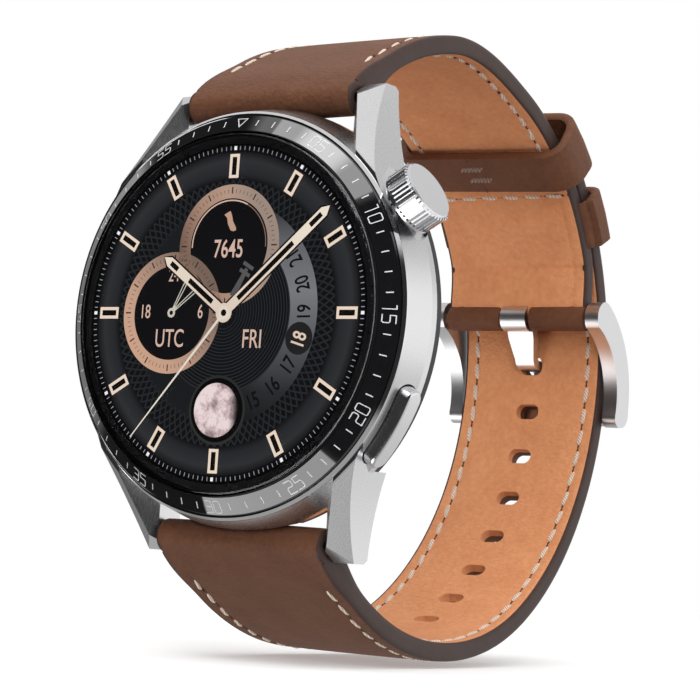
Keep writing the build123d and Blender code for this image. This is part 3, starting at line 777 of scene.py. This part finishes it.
def build_straps():
    for strap in ("short", "long"):
        outer = strap_outer(strap).piece(strap + "_strap_leather", LEATHER, slot="outer_leather", smooth=50)
        lining = strap_lining(strap).piece(strap + "_strap_nubuck", LINING, slot="lining_leather", smooth=50)
        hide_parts(strap + "_strap_outer")
        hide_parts(strap + "_strap_lining")
        if strap == "long":
            punched(outer)
            punched(lining)
        strap_edges(strap).piece(strap + "_strap_edges", EDGE, slot="outer_leather", smooth=50)
        threads, hole_shades = Shape(), Shape()
        for side in (-1, 1):
            edge_seams(strap, side, threads, hole_shades)
        if strap == "short":
            across_seam("short", FOLD_ANGLE, -1, threads, hole_shades, 9.3)
            across_seam("short", FOLD_ANGLE, 1, threads, hole_shades, 9.3)
        else:
            for side in (-1, 1):
                tail_seam(side, threads, hole_shades)
        threads.piece(strap + "_strap_stitches", THREAD, smooth=60)
        # Dark discs painted as the shade in the needle holes.
        hole_shades.piece(strap + "_needle_hole_shades", HOLE_SHADE_AND_JOINT, smooth=60)
    band = loose_keeper().piece("loose_keeper_band", LEATHER, "keeper", "outer_leather", 50)
    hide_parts("loose_keeper")
    threads, joint = Shape(), Shape()
    keeper_marks(threads, joint)
    threads.piece("loose_keeper_staples", BROWN_THREAD, "keeper", smooth=60)
    joint.piece("loose_keeper_joint", HOLE_SHADE_AND_JOINT, "keeper")
    fixed = fixed_keeper().piece("fixed_keeper_band", LEATHER, slot="outer_leather", smooth=50)
    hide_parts("fixed_keeper")


# ---- dial picture ---------------------------------------------------------------------------------------

# The display's front, and the step between one level of the picture and the next.
PICTURE_Y = -11.342
LEVEL = 0.007
TICK_RADIUS = 17.75
MARKER_RADIUS = 15.82
GREY_RING = (14.2, 17.35)
# (radius, y) of the sloping bezel's inner and outer edge, and the radius of its print.
NUMBER_RADIUS = 20.62
BEZEL_SLOPE = ((19.68, -11.66), (21.45, -10.5))


def polar(radius, degrees, centre=(0, 0)):
    """A point clockwise from 12 o'clock."""
    turn = math.radians(degrees)
    return centre[0] + radius * math.sin(turn), centre[1] + radius * math.cos(turn)


class Picture(Shape):
    """Flat figures in the dial plane, each at one level above the display."""

    def __init__(self, level):
        super().__init__()
        self.y = PICTURE_Y - LEVEL * level

    def figure(self, points, faces):
        return self.add([(x, self.y, z) for x, z in points], faces)

    def patch(self, points):
        return self.figure(points, [tuple(range(len(points)))])

    def band(self, inner, outer, start=0.0, end=360.0, centre=(0, 0)):
        count = max(int(abs(end - start) / 3), 2)
        turns = [start + (end - start) * index / count for index in range(count + 1)]
        points = [polar(radius, turn, centre) for turn in turns for radius in (inner, outer)]
        return self.figure(points, [(2 * i, 2 * i + 1, 2 * i + 3, 2 * i + 2) for i in range(count)])

    def plate(self, radius, centre=(0, 0)):
        return self.patch([polar(radius, -index * 5, centre) for index in range(72)])

    def tick(self, radius, degrees, length, width, centre=(0, 0)):
        """A radial bar whose middle is at this radius."""
        return self.local(rectangle(width, length, radius), degrees, centre)

    def local(self, outline, degrees, centre=(0, 0), hole=None):
        """A figure given in (sideways, outward) coordinates, turned clockwise; hole is an inner outline."""
        spin = math.radians(degrees)
        out, side = (math.sin(spin), math.cos(spin)), (math.cos(spin), -math.sin(spin))

        def placed(points):
            return [tuple(centre[k] + side[k] * u + out[k] * v for k in (0, 1)) for u, v in points]

        if hole is None:
            return self.patch(placed(outline))
        count = len(outline)
        faces = [(i, (i + 1) % count, count + (i + 1) % count, count + i) for i in range(count)]
        return self.figure(placed(outline) + placed(hole), faces)

    def show(self, name, material):
        """Make these figures one piece of the display's picture."""
        self.piece(name, material, slot="display", solid=False)

    def words(self, text, height, x, z, turn=0.0, weight=0.0):
        """Plain narrow lettering in Blender's own font, turned anticlockwise by turn degrees."""
        curve = bpy.data.curves.new("lettering", "FONT")
        curve.body = text
        curve.offset = weight
        made = bpy.data.objects.new("lettering", curve)
        bpy.context.scene.collection.objects.link(made)
        mesh = bpy.data.meshes.new_from_object(made.evaluated_get(bpy.context.evaluated_depsgraph_get()))
        flat = [(vertex.co.x, vertex.co.y) for vertex in mesh.vertices]
        faces = [tuple(face.vertices) for face in mesh.polygons]
        bpy.data.objects.remove(made)
        low = [min(point[k] for point in flat) for k in (0, 1)]
        high = [max(point[k] for point in flat) for k in (0, 1)]
        scale = height / (high[1] - low[1])
        middle_x, middle_z = (low[0] + high[0]) / 2, (low[1] + high[1]) / 2
        c, s = math.cos(math.radians(turn)), math.sin(math.radians(turn))
        placed = []
        for u, v in flat:
            u, v = (u - middle_x) * scale * LETTER_NARROW, (v - middle_z) * scale
            placed.append((x + c * u - s * v, z + s * u + c * v))
        return self.figure(placed, faces)


def rectangle(width, length, middle_v):
    """The corners of an upright bar, as (sideways, outward)."""
    low, high = middle_v - length / 2, middle_v + length / 2
    return [(-width / 2, low), (width / 2, low), (width / 2, high), (-width / 2, high)]


LETTER_NARROW = 0.72
STEPS = (0.0, 7.2)
WORLD_TIME = (-7.1, 0.0)
MOON = (0.0, -10.4)
CREAM = ((0.86, 0.66, 0.5), (0.9, 0.74, 0.6))
ROSE = ((0.44, 0.265, 0.19), (0.52, 0.33, 0.25))


def crystal_border():
    """The black print round the crystal's back and wall, which hides what is behind its rim."""
    profile = [(18.25, -11.392), (19.56, -11.392), (19.56, -12.08), (19.64, -12.02), (19.64, -11.36),
               (18.25, -11.36)]
    rings = [[(r * math.sin(turn), y, r * math.cos(turn)) for r, y in profile] for turn in circle(240)]
    border = Shape().add(*loft(rings, closed=True))
    border.piece("crystal_border", gloss_black("border_black", 0.3, 0.1), slot="black_gloss", smooth=40)


def dial_ground():
    """Grey rings, the woven ring and the smooth inner disc."""
    rim = Picture(0)
    rim.band(*GREY_RING)
    rim.show("dial_grey_ring", ring_tone())
    weave = Picture(1)
    for index in range(100):
        start = index * 3.6
        for way in (-1, 1):
            for step in range(3):
                inner, outer = 11.6 + step * 0.9, 11.6 + (step + 1) * 0.9
                first, last = start + way * step * 2.4, start + way * (step + 1) * 2.4
                corners = [polar(inner, first - 0.5), polar(inner, first + 0.5), polar(outer, last + 0.5),
                           polar(outer, last - 0.5)]
                weave.patch(list(reversed(corners)))
    grey = lit("weave_grey", (0.011, 0.012, 0.014), (0.02, 0.021, 0.024), reach=14.3, grain=0.1)
    weave.show("dial_weave", grey)
    disc = Picture(1)
    disc.band(8.4, 11.9)
    disc.show("dial_inner_disc", lit("disc_grey", (0.006, 0.0065, 0.008), (0.011, 0.012, 0.014), reach=12.0))
    arcs = Picture(2)
    for index in range(20):
        radius = 1.7 + index * 0.36
        arcs.band(radius, radius + 0.09)
    arcs.show("dial_fine_arcs", lit("arc_grey", (0.022, 0.023, 0.026), (0.03, 0.032, 0.036), reach=9.0))


def ring_tone():
    """The smooth grey ring: lightest a little inside its outer edge, dark at both edges."""
    made = Finish("ring_grey")
    share = made.spread(made.from_middle(), 0.0, 1.0, *GREY_RING)
    tone = made.ramp(share, (0.0, (0.004, 0.004, 0.005)), (0.25, (0.02, 0.021, 0.024)),
                     (0.7, (0.03, 0.031, 0.034)), (1.0, (0.008, 0.008, 0.01)))
    return made.glow(tone)


def minute_track():
    fine, bold = Picture(3), Picture(3)
    for index in range(180):
        if index % 15:
            fine.tick(TICK_RADIUS, index * 2, 0.42, 0.075)
    for index in range(12):
        bold.tick(TICK_RADIUS, index * 30, 0.42, 0.36)
    fine.show("minute_ticks", lit("tick_white", (0.3, 0.3, 0.32), (0.42, 0.42, 0.44)))
    bold.show("five_minute_ticks", lit("bold_white", (0.8, 0.8, 0.82), (0.95, 0.95, 0.95)))


def hour_markers():
    frames, slots = Picture(3), Picture(3)
    for index in range(12):
        outer, inner = rectangle(1.28, 2.6, MARKER_RADIUS), rectangle(0.6, 1.95, MARKER_RADIUS)
        frames.local(outer, index * 30, hole=inner)
        slots.local(inner, index * 30)
    frames.show("hour_marker_frames", lit("marker_cream", *CREAM))
    slots.show("hour_marker_slots", lit("slot_black", (0.002, 0.002, 0.002), (0.004, 0.003, 0.003)))


def date_ring():
    ground = Picture(2)
    ground.band(8.65, 12.1, 22.0, 176.0)
    made = Finish("date_grey")
    up, along = made.axis(2), made.axis(0)
    share = made.spread(up, 0.0, 1.0, -12.0, 11.0)
    tone = made.ramp(share, (0.0, (0.01, 0.01, 0.012)), (0.16, (0.024, 0.025, 0.028)),
                     (0.36, (0.085, 0.087, 0.093)), (0.62, (0.2, 0.204, 0.216)),
                     (0.85, (0.13, 0.132, 0.142)), (1.0, (0.03, 0.031, 0.034)))
    side = made.spread(along, 0.25, 1.0, 1.0, 6.5, "SMOOTHSTEP")
    ground.show("date_band", made.glow(made.mix(side, (0.008, 0.008, 0.01), tone)))
    dark = Picture(3)
    for number, degrees in ((15, 153), (16, 137), (17, 121), (19, 89), (20, 73), (21, 57)):
        dark.words(str(number), 1.75, *polar(10.4, degrees), 180 - degrees, 0.016)
    dark.show("date_numbers", lit("date_black", (0.003, 0.003, 0.004), (0.005, 0.005, 0.006)))
    spot, today = Picture(3), Picture(4)
    spot.plate(1.72, polar(10.35, 105))
    today.words("18", 1.75, *polar(10.35, 105), 180 - 105, 0.016)
    spot.show("date_spot", lit("spot_dark", (0.012, 0.011, 0.012), (0.02, 0.019, 0.02)))
    today.show("date_today", lit("today_rose", *CREAM, 0.9))


def ring_dial(name, centre):
    """A small dial: a dark plate with a rose ring and its ticks."""
    plate, ring, marks = Picture(3), Picture(4), Picture(5)
    plate.plate(6.6, centre)
    ring.band(5.12, 6.62, centre=centre)
    for index in range(72):
        radius, length, width = (5.88, 0.4, 0.055) if index % 6 else (5.98, 0.72, 0.16)
        marks.tick(radius, index * 5, length, width, centre)
    plate.show(name + "_plate", lit(name + "_dark", (0.006, 0.006, 0.007), (0.003, 0.003, 0.004)))
    ring.show(name + "_ring", ring_rose(name))
    marks.show(name + "_marks", lit(name + "_mark_dark", (0.03, 0.018, 0.014), (0.05, 0.03, 0.024)))


# How much of z is added to x, the span that it runs over, and the colours along it.
RING_LIGHT = {
    "steps": (0.35, (-5.0, 7.5), ((0.0, (0.13, 0.075, 0.055)), (0.4, (0.42, 0.26, 0.19)),
                                  (0.7, (0.5, 0.33, 0.25)), (1.0, (0.36, 0.27, 0.22)))),
    "world_time": (0.8, (-17.0, 0.0), ((0.0, (0.68, 0.4, 0.27)), (0.35, (0.6, 0.37, 0.26)),
                                       (0.7, (0.36, 0.235, 0.175)), (1.0, (0.2, 0.135, 0.105)))),
}


def ring_rose(name):
    """Rose-gold paint with the soft light that the picture shows on each ring."""
    made = Finish(name + "_rose")
    lean, span, stops = RING_LIGHT[name]
    across = made.math("ADD", made.axis(0), made.math("MULTIPLY", made.axis(2), lean))
    return made.glow(made.ramp(made.spread(across, 0.0, 1.0, *span), *stops))


def small_dials():
    ring_dial("steps", STEPS)
    ring_dial("world_time", WORLD_TIME)
    cream = Picture(5)
    cream.band(4.82, 4.97, -92, 26, STEPS)
    cream.words("7645", 2.0, 0.0, 6.9, weight=0.01)
    cream.words("FRI", 1.95, 3.95, -2.75, weight=0.004)
    cream.words("UTC", 1.95, -7.1, -2.75, weight=0.004)
    cream.words("24", 1.45, -7.1, 4.15)
    cream.words("18", 1.5, -10.6, 0.15, weight=0.004)
    cream.words("6", 1.5, -3.15, 0.15, weight=0.004)
    cream.show("dial_lettering", lit("lettering_cream", (0.72, 0.5, 0.4), (0.72, 0.5, 0.4)))
    faint = Picture(5)
    faint.band(4.82, 4.93, 26, 92, STEPS)
    faint.show("steps_track", lit("track_rose", (0.25, 0.16, 0.12), (0.25, 0.16, 0.12)))
    shoe = Picture(5)
    shoe.patch([(-0.85, 10.55), (-0.45, 10.2), (-0.3, 9.55), (0.1, 8.85), (0.5, 8.75), (0.85, 8.85),
                (0.8, 9.15), (0.35, 9.85), (0.2, 10.4), (-0.05, 10.95), (-0.4, 10.8)])
    shoe.show("shoe_sign", lit("shoe_rose", *ROSE, 1.15))


def moon():
    ring, plate, disc = Picture(3), Picture(4), Picture(5)
    ring.plate(3.72, MOON)
    plate.plate(3.42, MOON)
    disc.plate(2.9, (MOON[0] - 0.12, MOON[1]))
    ring.show("moon_ring", lit("moon_ring_grey", (0.02, 0.021, 0.02), (0.032, 0.034, 0.032)))
    plate.show("moon_plate", lit("moon_black", (0.001, 0.001, 0.001), (0.002, 0.002, 0.002)))
    made = Finish("moon_face")
    seas = made.noise(0.42, 5, 0.62, made.stretched((1, 1, 1), move=(3.1, 0, 1.3)))
    rough = made.noise(1.9, 6, 0.7)
    tone = made.blend(seas, rough, 0.68)
    face = made.ramp(tone, (0.4, (0.3, 0.21, 0.215)), (0.48, (0.6, 0.45, 0.455)), (0.56, (0.9, 0.74, 0.74)))
    shade = made.spread(made.axis(0), 1.0, 0.0, 1.5, 2.75, "SMOOTHSTEP")
    disc.show("moon_disc", made.glow(made.mix(shade, (0.01, 0.008, 0.008), face)))


# Degrees, length and dark slots of the hour and minute hands.
HANDS = (
    (305.5, 10.5, ((2.0, 6.1), (8.1, 9.35))),
    (48.8, 17.0, ((2.3, 11.2), (13.9, 15.7))),
)


def clock_hands():
    cream, black, shadow = Picture(7), Picture(8), Picture(6)
    for degrees, length, slots in HANDS:
        outline = [(-0.56, 0.6), (0.56, 0.6), (0.56, length - 0.9), (0, length), (-0.56, length - 0.9)]
        cream.local(outline, degrees)
        shadow.local([(u * 1.35, v + 0.1) for u, v in outline], degrees)
        for start, end in slots:
            black.local(rectangle(0.56, end - start, (start + end) / 2), degrees)
    cream.plate(1.05)
    cream.show("hour_and_minute_hands", lit("hand_cream", (0.78, 0.64, 0.52), (0.92, 0.8, 0.66), reach=14.0))
    shadow.show("hand_shadows", lit("shadow_black", (0.012, 0.009, 0.008), (0.006, 0.005, 0.005)))
    second = Picture(8)
    second.local([(-0.16, 0.5), (0.16, 0.5), (0.06, 17.8), (-0.06, 17.8)], 220.3)
    second.band(0.36, 0.72)
    second.show("second_hand", lit("second_cream", (0.8, 0.72, 0.62), (0.95, 0.85, 0.74)))
    black.plate(0.36)
    black.show("hand_slots", lit("hand_slot_black", (0.003, 0.002, 0.002), (0.006, 0.005, 0.004)))
    grey = Picture(6)
    grey.local([(-0.42, 2.0), (0.42, 2.0), (0.22, 5.4), (-0.22, 5.4)], 29.5)
    for level in (4.9, 5.75):
        grey.local(rectangle(1.5, 0.42, level), 29.5)
    grey.show("grey_pointer", lit("pointer_grey", (0.09, 0.085, 0.085), (0.14, 0.135, 0.135)))
    small = Picture(6)
    for degrees, length in ((28.0, 4.3), (52.0, 4.9)):
        outline = [(-0.14, 0.3), (0.14, 0.3), (0.24, length - 0.8), (0, length), (-0.24, length - 0.8)]
        hole = [(-0.04, 0.9), (0.04, 0.9), (0.12, length - 1.0), (0, length - 0.5), (-0.12, length - 1.0)]
        small.local(outline, degrees, WORLD_TIME, hole)
    small.band(0.24, 0.52, centre=WORLD_TIME)
    small.show("world_time_hands", lit("small_hand_cream", (0.6, 0.56, 0.46), (0.7, 0.66, 0.55)))


# ---- bezel numbers --------------------------------------------------------------------------------------

# Lines of each digit, one unit wide and 1.7 high.
STROKES = {
    "0": [[(0.15, 0), (0.85, 0), (1, 0.15), (1, 1.55), (0.85, 1.7), (0.15, 1.7), (0, 1.55), (0, 0.15),
           (0.15, 0)]],
    "1": [[(0.2, 1.7), (0.62, 1.7), (0.62, 0)]],
    "2": [[(0, 1.7), (0.85, 1.7), (1, 1.55), (1, 1.02), (0.85, 0.87), (0.15, 0.87), (0, 0.72), (0, 0),
           (1, 0)]],
    "3": [[(0, 1.7), (0.85, 1.7), (1, 1.55), (1, 0.15), (0.85, 0), (0, 0)], [(0.25, 0.87), (1, 0.87)]],
    "4": [[(0.25, 1.7), (0, 0.45), (1, 0.45)], [(0.72, 0.95), (0.72, 0)]],
    "5": [[(1, 1.7), (0.05, 1.7), (0.05, 0.98), (0.85, 0.98), (1, 0.83), (1, 0.15), (0.85, 0), (0, 0)]],
}


def slope_point(radius, degrees, lift):
    """A point on the bezel's sloping face."""
    (inner, high), (outer, low) = BEZEL_SLOPE
    y = high + (radius - inner) * (low - high) / (outer - inner)
    x, z = polar(radius, degrees)
    return x, y - lift, z


def bezel_stroke(shape, points, degrees, flip, width=0.1):
    """A raised line on the bezel through (sideways, outward) points; flip turns it upside down."""
    way = -1 if flip else 1
    rings = []
    for index, point in enumerate(points):
        before, after = Vector(points[max(index - 1, 0)]), Vector(points[min(index + 1, len(points) - 1)])
        here = Vector(point)
        first = (here - before).normalized() if index else (after - here).normalized()
        second = (after - here).normalized() if index < len(points) - 1 else first
        if points[0] == points[-1] and index in (0, len(points) - 1):
            first = (Vector(points[-1]) - Vector(points[-2])).normalized()
            second = (Vector(points[1]) - Vector(points[0])).normalized()
        normal = Vector((-(first.y + second.y), first.x + second.x)).normalized()
        reach = width / 2 / max(normal.dot(Vector((-first.y, first.x))), 0.5)
        if index == 0 and points[0] != points[-1]:
            here = here - first * width / 2
        if index == len(points) - 1 and points[0] != points[-1]:
            here = here + first * width / 2
        ring = []
        for side, lift in ((-1, -0.02), (1, -0.02), (1, 0.016), (-1, 0.016)):
            u, v = here + normal * side * reach
            turn = degrees + math.degrees(way * u / NUMBER_RADIUS)
            ring.append(slope_point(NUMBER_RADIUS + way * v, turn, lift))
        rings.append(ring)
    shape.add(*loft(rings))


def bezel_numbers():
    """The minute scale: a triangle at 0, numbers every five minutes and strokes between them."""
    marks = Shape()
    for minute in range(60):
        degrees = minute * 6
        if minute % 5:
            bezel_stroke(marks, [(0, -0.28), (0, 0.28)], degrees, False, 0.12)
            continue
        if minute == 0:
            bezel_stroke(marks, [(-0.62, 0.5), (0.62, 0.5), (0, -0.5), (-0.62, 0.5)], 0, False)
            continue
        flip = 15 < minute < 45
        for place, digit in enumerate(f"{minute:02d}"):
            for line in STROKES[digit]:
                points = [(u * 0.82 + (-0.97 if place == 0 else 0.15), (v - 0.85) * 0.72) for u, v in line]
                bezel_stroke(marks, points, degrees, flip)
    made = plastic("bezel_print", (0.86, 0.86, 0.87), 0.45, 6.0, 0.002)
    marks.piece("bezel_numbers", made, slot="black_gloss")


# ---- stage ----------------------------------------------------------------------------------------------

def floor():
    """A floor, grey under the watch and white further out, that neither lights nor shades it. In metres."""
    size, count = 3.0, 12
    level = cad_box[0].z - 0.0008
    ground = bpy.data.meshes.new("studio_floor")
    row = count + 1
    lines = [(index / count - 0.5) * size for index in range(row)]
    verts = [(x, y, level) for y in lines for x in lines]
    faces = [(j * row + i, j * row + i + 1, (j + 1) * row + i + 1, (j + 1) * row + i)
             for j in range(count) for i in range(count)]
    ground.from_pydata(verts, [], faces)
    made = bpy.data.objects.new("studio_floor", ground)
    bpy.context.scene.collection.objects.link(made)
    finish = Finish("pale_floor")
    paper = finish.noise(0.05, 4)
    far = finish.spread(finish.length(finish.place), 0.0, 1.0, 90.0, 420.0, "SMOOTHSTEP")
    near_tone = finish.mix(paper, (0.80, 0.80, 0.80), (0.83, 0.83, 0.83))
    finish.set(Base_Color=finish.mix(far, near_tone, (0, 0, 0)), Roughness=0.9, Specular_IOR_Level=0.0)
    finish.set(Emission_Color=finish.mix(far, (0.3, 0.3, 0.3), (1, 1, 1)), Emission_Strength=1.0)
    ground.materials.append(finish.material)
    made.visible_glossy = False
    made.visible_shadow = False
    made.visible_diffuse = False


# (direction, full inside this angle, gone outside this angle, brightness); later ones lie on top.
PATCHES = (
    ((0.1, -0.2, -1.0), 40, 85, 0.4),
    ((0.88, 0.47, 0.08), 14, 50, 1.08),
    ((0.55, 0.45, 0.7), 6, 30, 0.6),
    ((0.74, 0.47, -0.55), 6, 26, 0.62),
    ((0.35, 0.82, 0.45), 4, 20, 0.62),
    ((-0.73, 0.68, -0.05), 14, 44, 0.2),
    ((-0.56, -0.82, 0.085), 27, 36, 0.03),
    ((0.5, -0.86, 0.0), 44, 50, 0.03),
    ((-0.762, -0.088, 0.642), 15, 22, 0.03),
    ((-0.87, -0.17, -0.47), 21, 30, 0.03),
    ((0.075, -0.573, 0.816), 10.2, 11.2, 2.4),
    ((-0.28, -0.37, 0.885), 9.0, 10.0, 2.4),
    ((-0.12, -0.47, 0.875), 4.0, 12.5, 5.0),
    ((-0.288, -0.564, -0.774), 25.8, 26.8, 2.4),
)
STUDIO_LEVEL = 0.8


def studio_world():
    """Pale surroundings with darker and brighter patches that give the metal and glass contrast."""
    world = bpy.data.worlds.new("studio")
    bpy.context.scene.world = world
    world.use_nodes = True
    tree = world.node_tree
    tree.nodes.clear()

    def node(kind, settings, inputs):
        made = tree.nodes.new("ShaderNode" + kind)
        for key, value in settings.items():
            setattr(made, key, value)
        for key, value in inputs.items():
            if isinstance(value, bpy.types.NodeSocket):
                tree.links.new(value, made.inputs[key])
            else:
                made.inputs[key].default_value = value
        return made

    coords = tree.nodes.new("ShaderNodeTexCoord").outputs["Generated"]
    level = STUDIO_LEVEL
    for direction, inner, outer, value in PATCHES:
        aim = Vector(direction).normalized()
        dot = node("VectorMath", {"operation": "DOT_PRODUCT"}, {0: coords, 1: tuple(aim)}).outputs["Value"]
        ends = {"From Min": math.cos(math.radians(outer)), "From Max": math.cos(math.radians(inner))}
        mask = node("MapRange", {"interpolation_type": "SMOOTHSTEP"}, {"Value": dot, **ends}).outputs[0]
        level = node("Mix", {"data_type": "FLOAT"}, {0: mask, 2: level, 3: value}).outputs[0]
    studio = node("Background", {}, {"Color": (1, 1, 1, 1), "Strength": level})
    plain = node("Background", {}, {"Color": (1, 1, 1, 1), "Strength": 1.0})
    seen = tree.nodes.new("ShaderNodeLightPath").outputs["Is Camera Ray"]
    both = node("MixShader", {}, {0: seen, 1: studio.outputs[0], 2: plain.outputs[0]})
    out = tree.nodes.new("ShaderNodeOutputWorld")
    tree.links.new(both.outputs[0], out.inputs[0])


def softbox(name, place, size, power):
    """A rectangular light turned to the origin, which shines on the watch but isn't mirrored in it."""
    light = bpy.data.lights.new(name, "AREA")
    light.shape = "RECTANGLE"
    light.size, light.size_y = size[0] * MM, size[1] * MM
    light.energy = power
    made = bpy.data.objects.new(name, light)
    made.location = Vector(place) * MM
    made.rotation_mode = "QUATERNION"
    made.rotation_quaternion = (-made.location).to_track_quat("-Z", "Y")
    made.visible_glossy = False
    bpy.context.scene.collection.objects.link(made)


def lights():
    softbox("key_light", (300, -420, 420), (420, 420), 1.5)
    softbox("top_light", (60, 120, 560), (600, 500), 0.85)
    softbox("front_fill", (330, -420, 120), (300, 300), 1.1)


def camera():
    """The camera, placed where the photo was taken from."""
    turn, rise, roll = math.radians(34.17), math.radians(-4.89), math.radians(3.91)
    back = Vector((math.sin(turn) * math.cos(rise), -math.cos(turn) * math.cos(rise), math.sin(rise)))
    right = (-back).cross(Vector((0, 0, 1))).normalized()
    up = right.cross(-back)
    tilted_right = math.cos(roll) * right + math.sin(roll) * up
    tilted_up = -math.sin(roll) * right + math.cos(roll) * up
    lens = bpy.data.cameras.new("camera")
    lens.sensor_width = 36
    lens.lens = 115.56
    lens.clip_start = 0.01
    lens.clip_end = 10
    made = bpy.data.objects.new("camera", lens)
    bpy.context.scene.collection.objects.link(made)
    pose = Matrix((tilted_right, tilted_up, back)).transposed().to_4x4()
    pose.translation = Vector((144.9, -200.8, -23.4)) * MM
    made.matrix_world = pose
    bpy.context.scene.camera = made


dress_nodes()
build_straps()
crystal_border()
dial_ground()
minute_track()
hour_markers()
date_ring()
small_dials()
moon()
clock_hands()
bezel_numbers()
floor()
studio_world()
lights()
camera()
bpy.context.scene.view_settings.view_transform = "Standard"
